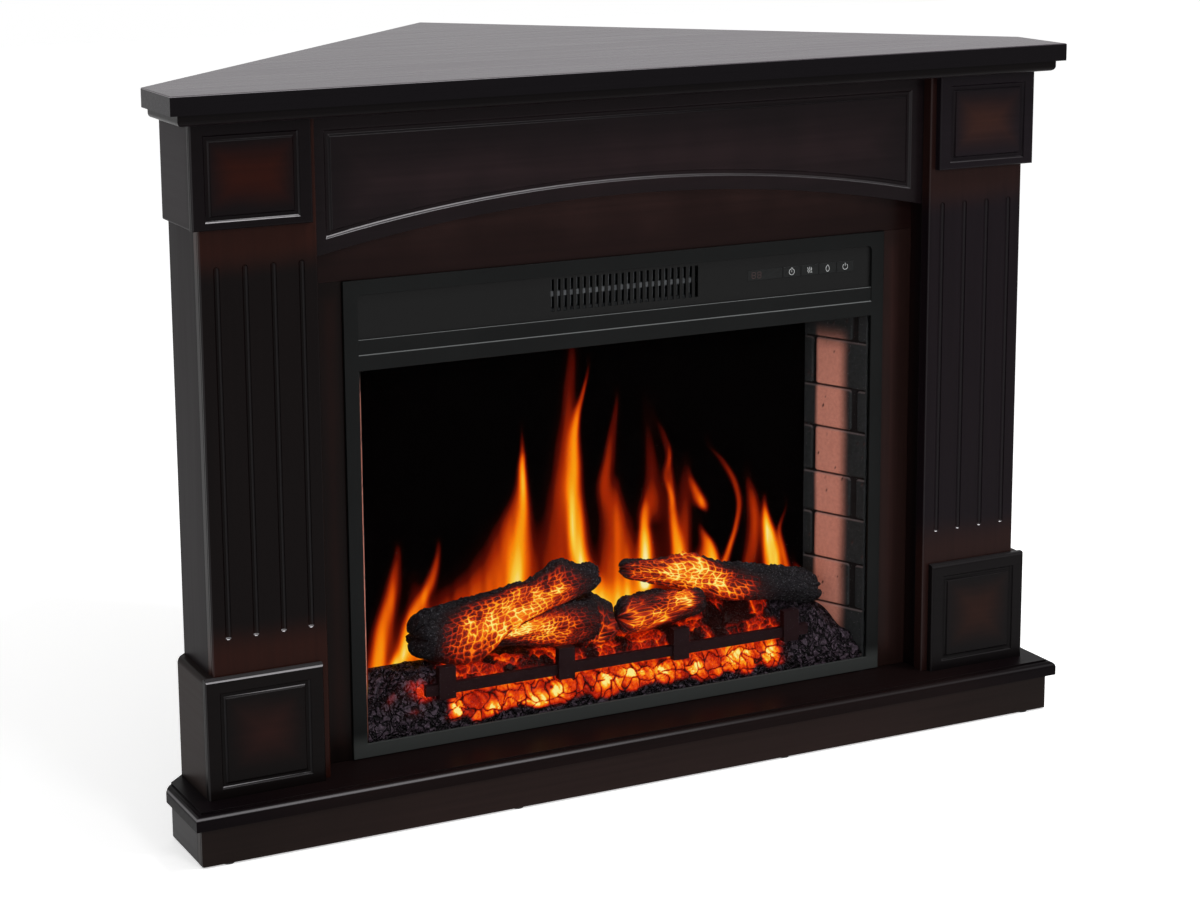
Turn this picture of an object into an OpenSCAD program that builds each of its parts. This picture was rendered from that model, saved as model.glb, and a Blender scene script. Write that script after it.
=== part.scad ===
// Corner fireplace: a dark wooden corner mantel round a 28-inch class electric firebox.
// The front looks along -Y, the two walls of the room's corner meet behind it at +Y.
// The origin is at the middle of the footprint, on the floor.

/* [Overall] */
// Depth of the pilasters' outer sides, from the face back to the wall
side_d = 100; // [85:1:140]
// Thickness of the carcass boards
board_t = 16; // [12:1:18]
// Thickness of the glides under the plinth
glide_t = 2; // [1:0.5:4]

/* [Mantel shelf] */
// How far the shelf board stands out past the cap blocks
shelf_side = 28; // [20:1:40]
// Thickness of the shelf board
shelf_t = 21; // [16:1:28]
// Set-back of the shelf's front edge behind the plinth's front edge
shelf_setback = 10; // [4:1:16]
// Radius of the shelf's upper edge
shelf_round = 1.6; // [0.5:0.1:3]
// How far the moulded board under the shelf stands out past the cap blocks
under_side = 18; // [10:1:24]
// Thickness of the moulded board under the shelf
under_t = 13; // [10:1:18]
// Set-back of the moulded board behind the plinth's front edge
under_setback = 17.5; // [12:0.5:24]
// Radius of the moulded board's lower edge
under_round = 6; // [2:0.5:9]

/* [Pilasters] */
// Width of each pilaster's face
pilaster_w = 135.5; // [120:0.5:145]
// Set-back of the pilasters' faces behind the plinth's front edge
pilaster_setback = 45.5; // [42:0.5:52]
// Radius of the pilasters' vertical front edges
pilaster_round = 2.5; // [1:0.5:4]
// Number of flutes in each pilaster
flute_n = 4; // [2:1:5]
// Distance between the flutes' centre lines
flute_pitch = 32.5; // [20:0.5:33]
// Radius of the round-nosed cutter that makes the flutes
flute_r = 3.5; // [2:0.1:5]
// Plain face left between the flutes' ends and the blocks
flute_margin = 41; // [20:1:80]
// Distance of the quirk line on the side edges behind each face
quirk_back = 5; // [4:0.5:8]
// Width of the quirk line
quirk_w = 1.2; // [0.6:0.1:2]

/* [Cap blocks] */
// Height of the cap blocks
cap_h = 115; // [90:1:140]
// Set-back of the cap blocks' faces behind the plinth's front edge
cap_setback = 35; // [30:0.5:38]
// How far the cap blocks stand out past the pilasters' outer sides
cap_side = 9.5; // [6:0.5:12]
// Strip of pilaster left bare inside each cap block
cap_inner = 7.5; // [4:0.5:14]
// Radius of the cap blocks' edges
cap_round = 3; // [1:0.5:4]
// Margin beside the cap blocks' routed frame
cap_frame_side = 14.5; // [10:0.5:24]
// Margin under the cap blocks' routed frame
cap_frame_low = 8.5; // [6:0.5:20]
// Margin over the cap blocks' routed frame
cap_frame_high = 12.5; // [6:0.5:20]

/* [Base blocks] */
// Height of the base blocks
base_h = 139; // [110:1:170]
// Set-back of the base blocks' faces behind the plinth's front edge
base_setback = 36.5; // [32:0.5:40]
// How far the base blocks stand out past the pilasters' outer sides
base_side = 12.5; // [8:0.5:14]
// Strip of pilaster left bare inside each base block
base_inner = 9; // [4:0.5:14]
// Radius of the base blocks' upper edges
base_round = 6; // [2:0.5:7]
// Margin beside the base blocks' routed frame
base_frame_side = 16; // [10:0.5:24]
// Margin under the base blocks' routed frame
base_frame_low = 11.5; // [8:0.5:24]
// Margin over the base blocks' routed frame
base_frame_high = 16; // [10:0.5:24]

/* [Frieze] */
// Set-back of the frieze's face behind the plinth's front edge
frieze_setback = 62.5; // [62:0.5:68]
// Height of the frieze board at the arch's ends
frieze_h = 159; // [140:1:200]
// Thickness of the arched frieze board
frieze_t = 22; // [16:1:26]
// Height of the arch's ends over the header's joint
arch_lift = 33; // [22:1:50]
// Rise of the arch over its whole span
arch_rise = 42.5; // [20:0.5:60]
// Margin beside the frieze's routed frame
frieze_frame_side = 17; // [10:0.5:40]
// Margin over the frieze's routed frame
frieze_frame_high = 18.5; // [10:0.5:30]
// Margin between the arch and the frieze's routed frame
frieze_frame_low = 16.5; // [10:0.5:30]
// Width of the routed grooves
groove_w = 7.5; // [5:0.5:10]
// Depth of the routed grooves
groove_d = 3.6; // [2:0.1:5]

/* [Surround] */
// Width of each stile that shows between the firebox's flange and the pilaster
stile_w = 42; // [30:1:60]
// How far the header reaches down behind the firebox's flange
header_lap = 12; // [4:1:14]
// Clearance between the surround and the firebox's casing
casing_gap = 2; // [1:0.5:4]

/* [Plinth] */
// How far the plinth's top board stands out past the base blocks
plinth_side = 28; // [20:1:40]
// Height of the plinth's upper face over the floor
plinth_h = 66; // [60:1:90]
// Thickness of the plinth's top board
plinth_t = 19; // [16:1:22]
// How far the top board stands out past the boards under it
plinth_lip = 8.5; // [5:0.5:14]
// Height of the flat fillet at the foot of the top board's edge
plinth_fillet = 10; // [4:0.5:10]
// Radius of the quarter round over that fillet
plinth_ovolo = 7; // [3:0.5:7]
// Step between the quarter round and the upper face
plinth_step = 2; // [1:0.5:3]

/* [Back frame] */
// Side of the square post in the rear corner
post_w = 40; // [30:1:60]
// Height of the rails under the shelf
rail_h = 90; // [60:1:140]
// Radius of the wall screw holes in the rails
wall_screw_r = 2.75; // [2:0.25:4]
// Distance of the wall screw holes from the middle plane
wall_screw_x = 280; // [180:5:380]
// Leg of the triangular glue blocks
glue_leg = 30; // [20:1:40]
// Length of the triangular glue blocks
glue_h = 60; // [40:1:100]

/* [Firebox] */
// Width of the flange round the firebox's front
flange_w = 714; // [706:1:730]
// Thickness of the flange
flange_t = 4; // [2.5:0.5:6]
// Set-back of the flange's face behind the plinth's front edge
flange_setback = 80.5; // [76:0.5:90]
// Gap under the flange
flange_gap = 1; // [0.5:0.5:3]
// Width of the flange beside the window
window_side = 17.5; // [16:0.5:30]
// Width of the flange under the window
window_low = 16.5; // [16:0.5:30]
// Width of the flange over the fascia
flange_top = 17; // [14:0.5:30]
// Height of the window
window_h = 440.5; // [400:0.5:442]
// Height of the flush rail over the window
window_rail = 18; // [12:0.5:24]
// Height of the sunk strip over that rail
strip_h = 17.5; // [10:0.5:20]
// Depth of the sunk strip
strip_d = 1.5; // [0.5:0.1:2]
// Height of the opening for the control fascia
fascia_h = 51.5; // [46:0.5:54]
// Radius of that opening's upper corners
fascia_round = 6; // [2:0.5:10]
// Depth of the casing behind the flange's face
casing_d = 190; // [180:1:230]
// Thickness of the casing's sheet steel
sheet_t = 1.2; // [0.8:0.1:2]
// Height of the pressed feet under the casing
foot_h = 4; // [2:0.5:6]
// Thickness of the window glass
glass_t = 3; // [2:0.5:3.5]
// Overlap of the glass and the fascia behind the flange
seat_lap = 2.5; // [1:0.5:3]

/* [Fire] */
// Depth of the flame screen's face behind the flange's face
screen_d = 93; // [90:1:110]
// Thickness of the flame screen
screen_t = 2.5; // [2:0.5:4]
// Distance between the side walls where they meet the flame screen
hearth_back_w = 602; // [560:1:640]
// Thickness of the moulded brick walls
brick_t = 5; // [4:0.5:5]
// Height of one course of bricks
course_h = 57; // [40:1:70]
// Width of the mortar joints
joint_w = 3; // [2:0.5:5]
// Depth of the mortar joints
joint_d = 2; // [1:0.5:3]
// Height of the shelf on which the grate stands, over the floor
ember_front_z = 118.5; // [105:0.5:125]
// Height of the ember bed under the logs, over the floor
ember_top_z = 144; // [135:1:150]
// Height over the ember bed at which the logs are seated
log_lift = 2; // [1:0.5:5]
// Length of the grate's bar
grate_w = 520; // [460:1:560]
// Height of the grate's uprights
upright_h = 39; // [30:1:50]
// Width of the grate's uprights
upright_w = 21; // [12:1:26]
// Radius of the flame rotor over its foils
rotor_r = 20; // [12:1:28]
// Depth of the flame rotor's axis behind the flange's face
rotor_d = 130; // [126:1:150]
// Height of the flame rotor's axis over the floor
rotor_z = 118; // [105:1:150]
// Radius of the rotor's and the blower's shafts
shaft_r = 3; // [2:0.5:4]
// Running clearance of the shafts in their bushes
bush_gap = 0.05; // [0.02:0.01:0.09]

/* [Heater] */
// Depth of the blower's axis behind the flange's face
blower_d = 62; // [58:1:70]
// Number of slots in the air outlet
slot_n = 24; // [12:1:24]
// Distance between the slots
slot_pitch = 8.3; // [7:0.1:8.4]
// Width of each slot
slot_w = 4.5; // [3:0.1:5]
// Height of each slot
slot_h = 38; // [30:1:40]
// Radius of the blower wheel
blower_r = 19; // [12:0.5:20]
// Number of blades on the blower wheel
blade_n = 20; // [12:1:24]
// Number of fins on the heater
fin_n = 50; // [20:1:60]

/* [Controls] */
// Height of the keys' and the air outlet's centre line over the fascia's foot
panel_lift = 28.5; // [26:0.5:29]
// Distance of the display window's far end from the window's right-hand side
panel_side = 173.5; // [160:0.5:178]
// Width of the display window
display_w = 48; // [40:1:50]
// Distance between the keys
key_pitch = 25.4; // [20:0.1:26]
// Height of the keys and of the display window
key_h = 12.6; // [8:0.2:16]
// Rib between two keys
key_rib = 1; // [0.8:0.1:2]
// Side clearance of the keys in their openings
key_gap = 0.25; // [0.15:0.05:0.4]
// Travel of the keys
key_travel = 0.8; // [0.4:0.1:1]
// Radius of the hole for the mains lead in its gland
gland_r = 4; // [3:0.5:5]

/* [Hidden] */
$fn = 64;
cut = 1; // how far a cutting shape runs past the face it cuts
seat = 0.2; // clearance of a seated piece that drops into its place

// half widths
window_x = flange_w / 2 - window_side;
flange_x = flange_w / 2;
bay_x = flange_x + stile_w;
pilaster_x = bay_x + pilaster_w;
inner_x = window_x + seat_lap + 4 * seat;
casing_x = inner_x + sheet_t;
surround_x = casing_x + casing_gap;
shelf_x = pilaster_x + cap_side + shelf_side;
under_x = pilaster_x + cap_side + under_side;
plinth_edge_x = pilaster_x + base_side + plinth_side;
plinth_x = plinth_edge_x - plinth_lip;

// the room's corner is a right angle, so the depth follows from the pilasters' half width
depth = pilaster_setback + side_d + pilaster_x;
front = -depth / 2;
rear = depth / 2;

// heights of the plinth and its blocks
base_z = plinth_h + base_h;
plinth_board_z = plinth_h - plinth_t;

// depths of the faces
shelf_y = front + shelf_setback;
under_y = front + under_setback;
pilaster_y = front + pilaster_setback;
cap_y = front + cap_setback;
base_y = front + base_setback;
frieze_y = front + frieze_setback;
stile_y = frieze_y + frieze_t;
flange_y = front + flange_setback;
plinth_front_y = front + plinth_lip;
carcass_y = pilaster_y + board_t;

// firebox
flange_z = plinth_h + flange_gap;
window_z = flange_z + window_low;
window_top = window_z + window_h;
strip_z = window_top + window_rail;
fascia_z = strip_z + strip_h;
fascia_top = fascia_z + fascia_h;
header_z = fascia_top + flange_top;
flange_h = header_z - flange_z;
casing_z = plinth_h + foot_h;
casing_top = header_z - header_lap - casing_gap / 2;
inner_z = casing_z + sheet_t;
inner_top = casing_top - sheet_t;
seat_y = flange_y + flange_t;
casing_back_y = flange_y + casing_d;
heater_shelf_z = window_top + seat_lap + 1.5;
fascia_t = 2;
fascia_back = seat_y + fascia_t;
panel_x = window_x - panel_side;
panel_z = fascia_z + panel_lift;
vent_z = panel_z;

// heights over the firebox
arch_spring_z = header_z + arch_lift;
under_z = arch_spring_z + frieze_h;
shelf_z = under_z + under_t;
cap_z = under_z - cap_h;

// hearth
hearth_y = seat_y + glass_t + 0.3;
screen_y = flange_y + screen_d;
hearth_back_x = hearth_back_w / 2;
hearth_front_x = inner_x - brick_t - seat;
wall_run = screen_y - seat - hearth_y;
wall_turn = atan((hearth_front_x - hearth_back_x) / wall_run);
rotor_y = flange_y + rotor_d;
blower_y = flange_y + blower_d;
log_z = ember_top_z + log_lift;

espresso = "#1d1413";
stained = "#2c1a17";
steel_grey = "#262928";

// ---------- shared shapes ----------

// distance from front to back of the walls' line at half width x
function wall_y(x) = rear - x;

// five-sided outline that fits the corner of a room, of half width x
module corner_plan(x, y) {
  polygon([[-x, y], [x, y], [x, wall_y(x)], [0, rear], [-x, wall_y(x)]]);
}

// section of a board's edge, 2-D, with the face's two corners rounded
module nosed(w, t, r0, r1) {
  difference() {
    square([w, t]);
    difference() {
      translate([-cut, -cut]) square([r0 + cut, r0 + cut]);
      translate([r0, r0]) circle(r0);
    }
    difference() {
      translate([w - r1, -cut]) square([r1 + cut, r1 + cut]);
      translate([w - r1, r1]) circle(r1);
    }
  }
}

// upright board facing -Y, with rounded vertical edges and upper and lower edges
module face_board(x0, x1, y, t, z0, z1, r_in, r_out, r_low, r_high) {
  intersection() {
    translate([x0, y, z0]) linear_extrude(z1 - z0) nosed(x1 - x0, t, r_in, r_out);
    translate([x1, y, z0]) rotate([0, -90, 0])
      linear_extrude(x1 - x0) nosed(z1 - z0, t, r_low, r_high);
  }
}

// section of a board from its front edge back, with the lower corner rounded
module rounded_edge(t, r) {
  difference() {
    square([depth + 2 * plinth_edge_x, t]);
    difference() {
      translate([-cut, -cut]) square([r + cut, r + cut]);
      translate([r, r]) circle(r);
    }
  }
}

// five-sided board whose front and side edges have the section drawn by the child
module moulded_plan(x, y, z, t) {
  intersection() {
    translate([0, 0, z]) linear_extrude(t) corner_plan(x, y);
    translate([-x, y, z]) rotate([90, 0, 90]) linear_extrude(2 * x) children();
    moulded_side(x, z) children();
    mirror([1, 0, 0]) moulded_side(x, z) children();
  }
}

module moulded_side(x, z) {
  translate([-x, rear, z]) rotate([90, 0, 0]) linear_extrude(depth) children();
}

// the right-hand piece drawn by the child, or its left-hand twin
module handed(side) {
  mirror([side < 0 ? 1 : 0, 0, 0]) children();
}

// upright board that runs back from y to the walls' line, from half width x0 to x1
module wall_board(x0, x1, y, z0, z1) {
  translate([0, 0, z0]) linear_extrude(z1 - z0)
    polygon([[x0, y], [x1, y], [x1, wall_y(x1)], [x0, wall_y(x0)]]);
}

// board along the wall, t thick, from half width x_far in to x_near, where its end is cut square
// or, for a mitre, along the middle plane
module along_wall(x_far, x_near, t, z0, z1, mitred) {
  n = t / sqrt(2);
  inner_end = mitred ? [x_near, wall_y(x_near) - 2 * n] : [x_near - n, wall_y(x_near) - n];
  translate([0, 0, z0]) linear_extrude(z1 - z0)
    polygon([[x_far, wall_y(x_far)], [x_far, wall_y(x_far) - 2 * n], inner_end, [x_near, wall_y(x_near)]]);
}

// ---------- routed grooves ----------

function unit(v) = v / norm(v);
function left_of(v) = [-v[1], v[0]];
// step from a corner of a closed outline towards its inside, for an inset of 1
function mitre(p, i) =
  let (n = len(p), a = left_of(unit(p[i] - p[(i + n - 1) % n])), b = left_of(unit(p[(i + 1) % n] - p[i])))
    (a + b) / (1 + a * b);
groove_steps = 6;
// section of the groove: inset from the outline, and depth
groove_section = concat([for (k = [0:groove_steps]) let (a = 180 * k / groove_steps)
    [groove_w / 2 * (1 - cos(a)), groove_d * sin(a)]],
  [[groove_w, -cut], [0, -cut]]);

// groove with mitred corners, cut into a face that looks along -Y
module routed(outline, y) {
  s = len(groove_section);
  n = len(outline);
  points = [for (i = [0:n - 1]) let (m = mitre(outline, i)) for (g = groove_section)
    [outline[i][0] + m[0] * g[0], y + g[1], outline[i][1] + m[1] * g[0]]];
  faces = [for (i = [0:n - 1], k = [0:s - 1], h = [0, 1])
    let (a = i * s + k, b = i * s + (k + 1) % s, c = (i + 1) % n * s + (k + 1) % s, d = (i + 1) % n * s + k)
      h == 0 ? [a, c, b] : [a, d, c]];
  polyhedron(points, faces);
}

function oblong(x0, x1, z0, z1) = [[x0, z0], [x1, z0], [x1, z1], [x0, z1]];

// ---------- mantel ----------

module shelf_board() color(espresso)
  moulded_plan(shelf_x, shelf_y, shelf_z, shelf_t)
    translate([0, shelf_t]) mirror([0, 1]) rounded_edge(shelf_t, shelf_round);

module under_board() color(espresso)
  moulded_plan(under_x, under_y, under_z, under_t) rounded_edge(under_t, under_round);

// radius of the arch from its span and rise, and its centre's height
arch_r = (bay_x * bay_x + arch_rise * arch_rise) / (2 * arch_rise);
arch_z = arch_spring_z + arch_rise - arch_r;
function arch_point(x, lift) = [x, arch_z + sqrt((arch_r + lift) * (arch_r + lift) - x * x)];
frame_x = bay_x - frieze_frame_side;
arch_steps = 24;
frieze_outline = concat(
  [for (i = [0:arch_steps]) arch_point(frame_x * (2 * i / arch_steps - 1), frieze_frame_low)],
  [[frame_x, under_z - frieze_frame_high], [-frame_x, under_z - frieze_frame_high]]);

module frieze_board() color(espresso)
  difference() {
    translate([0, frieze_y + frieze_t, 0]) rotate([90, 0, 0]) linear_extrude(frieze_t) difference() {
      translate([-bay_x, arch_spring_z - cut]) square([2 * bay_x, under_z - arch_spring_z + cut]);
      translate([0, arch_z]) circle(arch_r, $fn = 720);
    }
    routed(frieze_outline, frieze_y);
  }

module header_board() color(stained)
  translate([0, stile_y + board_t, 0]) rotate([90, 0, 0]) linear_extrude(board_t) {
    translate([-bay_x, header_z]) square([2 * bay_x, under_z - header_z]);
    translate([-surround_x, header_z - header_lap]) square([2 * surround_x, header_lap]);
  }

module stile(side) color(stained) handed(side)
  translate([surround_x, stile_y, plinth_h])
    cube([bay_x - surround_x, board_t, header_z - plinth_h]);

module flutes() {
  x0 = bay_x + pilaster_w / 2 - flute_pitch * (flute_n - 1) / 2;
  z0 = base_z + flute_margin;
  z1 = cap_z - flute_margin;
  for (i = [0:flute_n - 1]) translate([x0 + i * flute_pitch, pilaster_y, 0]) {
    translate([0, 0, z0 + flute_r]) cylinder(h = z1 - z0 - 2 * flute_r, r = flute_r, $fn = 32);
    translate([0, 0, z0 + flute_r]) sphere(flute_r, $fn = 32);
    translate([0, 0, z1 - flute_r]) sphere(flute_r, $fn = 32);
  }
}

// thin line cut down a board's outer side edge, a little behind its face
module quirk(x, y, z0, z1) {
  translate([x - quirk_w, y + quirk_back, z0 - cut]) cube([quirk_w + cut, quirk_w, z1 - z0 + 2 * cut]);
}

module pilaster_front(side) color(espresso) handed(side)
  difference() {
    face_board(bay_x, pilaster_x, pilaster_y, board_t, plinth_h, under_z,
      pilaster_round, pilaster_round, 0, 0);
    flutes();
    quirk(pilaster_x, pilaster_y, plinth_h, under_z);
  }

module pilaster_side(side) color(espresso) handed(side)
  wall_board(pilaster_x - board_t, pilaster_x, carcass_y, plinth_h, under_z);

return_d = 60;
module pilaster_returns() color(espresso)
  for (side = [-1, 1]) handed(side)
    translate([bay_x, carcass_y, plinth_h]) cube([board_t, return_d, under_z - plinth_h]);

cap_x0 = bay_x + cap_inner;
cap_x1 = pilaster_x + cap_side;
module cap_block(side) color(espresso) handed(side)
  difference() {
    face_board(cap_x0, cap_x1, cap_y, pilaster_y - cap_y, cap_z, under_z,
      cap_round, cap_round, cap_round, 0);
    routed(oblong(cap_x0 + cap_frame_side, cap_x1 - cap_frame_side,
      cap_z + cap_frame_low, under_z - cap_frame_high), cap_y);
    quirk(cap_x1, cap_y, cap_z, under_z);
  }

// strip on the pilaster's side that carries a block round the corner
module block_return(x0, x1, z0, z1, r_low, r_high) {
  intersection() {
    wall_board(x0, x1, pilaster_y, z0, z1);
    translate([x1, rear, z0]) rotate([90, 0, 0]) rotate([0, 0, 90])
      linear_extrude(depth) nosed(z1 - z0, x1 - x0, r_low, r_high);
  }
}

module cap_returns() color(espresso)
  for (side = [-1, 1]) handed(side)
    block_return(pilaster_x, cap_x1, cap_z, under_z, cap_round, 0);

base_x0 = bay_x + base_inner;
base_x1 = pilaster_x + base_side;
module base_block(side) color(espresso) handed(side)
  difference() {
    face_board(base_x0, base_x1, base_y, pilaster_y - base_y, plinth_h, base_z,
      cap_round, cap_round, 0, base_round);
    routed(oblong(base_x0 + base_frame_side, base_x1 - base_frame_side,
      plinth_h + base_frame_low, base_z - base_frame_high), base_y);
    quirk(base_x1, base_y, plinth_h, base_z);
  }

module base_returns() color(espresso)
  for (side = [-1, 1]) handed(side)
    block_return(pilaster_x, base_x1, plinth_h, base_z, 0, base_round);

// ---------- plinth ----------

module plinth_edge() {
  far = depth + 2 * plinth_edge_x;
  square([far, plinth_fillet]);
  translate([plinth_ovolo, 0]) square([far - plinth_ovolo, plinth_fillet + plinth_ovolo]);
  translate([plinth_ovolo, plinth_fillet]) circle(plinth_ovolo);
  translate([plinth_ovolo + plinth_step, 0]) square([far - plinth_ovolo - plinth_step, plinth_t]);
}

module plinth_board() color(espresso)
  moulded_plan(plinth_edge_x, front, plinth_board_z, plinth_t)
    intersection() {
      plinth_edge();
      square([depth + 2 * plinth_edge_x, plinth_t]);
    }

module plinth_front() color(espresso)
  difference() {
    face_board(-plinth_x, plinth_x, plinth_front_y, board_t, glide_t, plinth_board_z,
      pilaster_round, pilaster_round, 0, 0);
    for (side = [-1, 1]) handed(side)
      quirk(plinth_x, plinth_front_y, glide_t, plinth_board_z);
  }

plinth_back_y = plinth_front_y + board_t;
module plinth_sides() color(espresso)
  for (side = [-1, 1]) handed(side)
    wall_board(plinth_x - board_t, plinth_x, plinth_back_y, glide_t, plinth_board_z);

module plinth_backs() color(espresso)
  for (side = [-1, 1]) handed(side)
    along_wall(plinth_x - board_t, seat / 2, board_t, glide_t, plinth_board_z, true);

bearer_x = 180;
module plinth_bearers() color("#5c4a3a")
  for (side = [-1, 1]) handed(side)
    translate([0, 0, glide_t]) linear_extrude(plinth_board_z - glide_t)
      polygon([[bearer_x, plinth_back_y], [bearer_x + board_t, plinth_back_y],
        [bearer_x + board_t, wall_y(bearer_x + board_t) - board_t * sqrt(2)],
        [bearer_x, wall_y(bearer_x) - board_t * sqrt(2)]]);

glide_r = 7;
module floor_glides() color("#101010")
  for (side = [-1, 1]) handed(side) {
    for (x = [bearer_x, plinth_x - 2 * board_t])
      translate([x, plinth_front_y + board_t / 2, 0]) cylinder(h = glide_t, r = glide_r);
    for (x = [board_t, plinth_x - 2 * board_t])
      translate([x, wall_y(x) - board_t / sqrt(2), 0]) cylinder(h = glide_t, r = glide_r);
  }

// ---------- back frame ----------

module corner_post() color("#5c4a3a")
  translate([0, 0, plinth_h]) linear_extrude(under_z - plinth_h)
    translate([0, rear]) rotate(-135) square(post_w);

module top_rail(side) color("#5c4a3a") handed(side)
  difference() {
    along_wall(pilaster_x - board_t, post_w / sqrt(2), board_t, under_z - rail_h, under_z, false);
    translate([wall_screw_x, wall_y(wall_screw_x), under_z - rail_h / 2]) rotate([0, 90, 45])
      cylinder(h = 2 * board_t + 2 * cut, r = wall_screw_r, center = true);
  }

module glue_blocks() color("#6b543c")
  for (side = [-1, 1], z = [plinth_h, under_z - glue_h]) handed(side)
    translate([pilaster_x - board_t, carcass_y, z]) linear_extrude(glue_h)
      polygon([[0, 0], [0, glue_leg], [-glue_leg, 0]]);

// ---------- firebox: flange, fascia and casing ----------

module fascia_hole() {
  r = fascia_round;
  difference() {
    translate([-window_x, fascia_z]) square([2 * window_x, fascia_h]);
    for (side = [-1, 1]) handed(side)
      difference() {
        translate([window_x - r, fascia_top - r]) square([r + cut, r + cut]);
        translate([window_x - r, fascia_top - r]) circle(r);
      }
  }
}

module insert_frame() color(steel_grey)
  difference() {
    translate([0, seat_y, 0]) rotate([90, 0, 0]) linear_extrude(flange_t) difference() {
      translate([-flange_x, flange_z]) square([flange_w, flange_h]);
      translate([-window_x, window_z]) square([2 * window_x, window_h]);
      fascia_hole();
    }
    translate([-window_x, flange_y - cut, strip_z]) cube([2 * window_x, strip_d + cut, strip_h + cut]);
  }

key_x = panel_x + display_w + key_rib;
module key_holes() {
  translate([panel_x - key_gap, panel_z - key_h / 2 - key_gap])
    square([display_w + 2 * key_gap, key_h + 2 * key_gap]);
  for (i = [0:3]) translate([key_x + i * key_pitch, panel_z - key_h / 2 - key_gap])
    square([key_pitch - key_rib, key_h + 2 * key_gap]);
}

module vent_slots() {
  for (i = [0:slot_n - 1])
    translate([(i - (slot_n - 1) / 2) * slot_pitch - slot_w / 2, vent_z - slot_h / 2])
      square([slot_w, slot_h]);
}

standoff_r = 3;
standoff_h = 7;
board_w = display_w + 4 * key_pitch + 14;
board_h = 34;
board_x = panel_x - 6;
board_hole = 4;
module at_standoffs() {
  for (x = [board_x + board_hole, board_x + board_w - board_hole],
      z = [panel_z - board_h / 2 + board_hole, panel_z + board_h / 2 - board_hole])
    translate([x, fascia_back, z]) rotate([-90, 0, 0]) children();
}

module control_fascia() color("#222424") {
  translate([0, fascia_back, 0]) rotate([90, 0, 0]) linear_extrude(fascia_t) difference() {
    translate([-window_x - seat_lap, fascia_z - seat_lap])
      square([2 * (window_x + seat_lap), fascia_h + 2 * seat_lap]);
    vent_slots();
    key_holes();
  }
  at_standoffs() cylinder(h = standoff_h, r = standoff_r, $fn = 24);
}

module glass_pane() color([0.8, 0.9, 0.9, 0.25])
  translate([-window_x - seat_lap, seat_y, window_z - seat_lap])
    cube([2 * (window_x + seat_lap), glass_t, window_h + 2 * seat_lap]);

foot_r = 12;
module casing_floor() color(steel_grey) {
  translate([-casing_x, seat_y, casing_z]) cube([2 * casing_x, casing_back_y - seat_y, sheet_t]);
  foot_x = casing_x - 4 * foot_r;
  for (x = [-foot_x, foot_x], y = [seat_y + 2 * foot_r, casing_back_y - 2 * foot_r])
    translate([x, y, plinth_h]) cylinder(h = foot_h, r = foot_r, $fn = 32);
}

module casing_roof() color(steel_grey)
  translate([-casing_x, seat_y, inner_top]) cube([2 * casing_x, casing_back_y - seat_y, sheet_t]);

module casing_side(side) color(steel_grey) handed(side)
  translate([inner_x, seat_y, inner_z]) cube([sheet_t, casing_back_y - seat_y, inner_top - inner_z]);

gland_side = 64;
gland_x = casing_x - gland_side;
gland_z = casing_z + 34;
gland_wall = 3.5;
gland_outer = gland_r + gland_wall;
gland_inside = 5;
gland_neck = 5;
gland_tip = 8;
louvre_n = 26;
louvre_lift = 60;
louvre_pitch = 9;
screw_r = 1.65;
screw_len = 5;
screw_rim = 1.1;
screw_head_r = 3.6;
screw_inset = 7;
screw_xs = [-casing_x + screw_inset, 0, casing_x - screw_inset];
screw_zs = [casing_z + screw_inset, (casing_z + casing_top) / 2, casing_top - screw_inset];

module at_screws() {
  for (x = screw_xs, z = screw_zs) if (x != 0 || z != screw_zs[1])
    translate([x, casing_back_y, z]) rotate([-90, 0, 0]) children();
}

module casing_back() color(steel_grey)
  difference() {
    translate([-casing_x, casing_back_y, casing_z]) cube([2 * casing_x, sheet_t, casing_top - casing_z]);
    for (i = [0:louvre_n - 1], z = [casing_z + louvre_lift, vent_z - slot_h / 2])
      translate([(i - (louvre_n - 1) / 2) * louvre_pitch - slot_w / 2, casing_back_y - cut, z])
        cube([slot_w, sheet_t + 2 * cut, slot_h]);
    translate([gland_x, casing_back_y - cut, gland_z]) rotate([-90, 0, 0])
      cylinder(h = sheet_t + 2 * cut, r = gland_outer + bush_gap);
    at_screws() translate([0, 0, -cut]) cylinder(h = sheet_t + 2 * cut, r = screw_r + bush_gap, $fn = 24);
  }

module casing_screws() color("#8d8f90")
  at_screws() {
    translate([0, 0, -screw_len]) cylinder(h = sheet_t + screw_len, r = screw_r, $fn = 24);
    translate([0, 0, sheet_t]) cylinder(h = screw_rim, r = screw_head_r, $fn = 24);
    translate([0, 0, sheet_t + screw_rim])
      cylinder(h = screw_rim, r1 = screw_head_r, r2 = 1.5 * screw_r, $fn = 24);
  }

module cord_gland() color("#141414")
  translate([gland_x, casing_back_y, gland_z]) rotate([-90, 0, 0]) difference() {
    union() {
      translate([0, 0, -gland_inside]) cylinder(h = gland_inside + sheet_t + gland_neck, r = gland_outer);
      translate([0, 0, sheet_t]) cylinder(h = gland_wall, r = gland_outer + gland_wall);
      translate([0, 0, sheet_t + gland_neck])
        cylinder(h = gland_tip, r1 = gland_outer, r2 = gland_r + gland_wall / 2);
    }
    translate([0, 0, -gland_inside - cut])
      cylinder(h = gland_inside + sheet_t + gland_neck + gland_tip + 2 * cut, r = gland_r);
  }

module heater_shelf() color(steel_grey)
  translate([-inner_x, seat_y, heater_shelf_z])
    cube([2 * inner_x, casing_back_y - seat_y, sheet_t]);

// ---------- fire ----------

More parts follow.
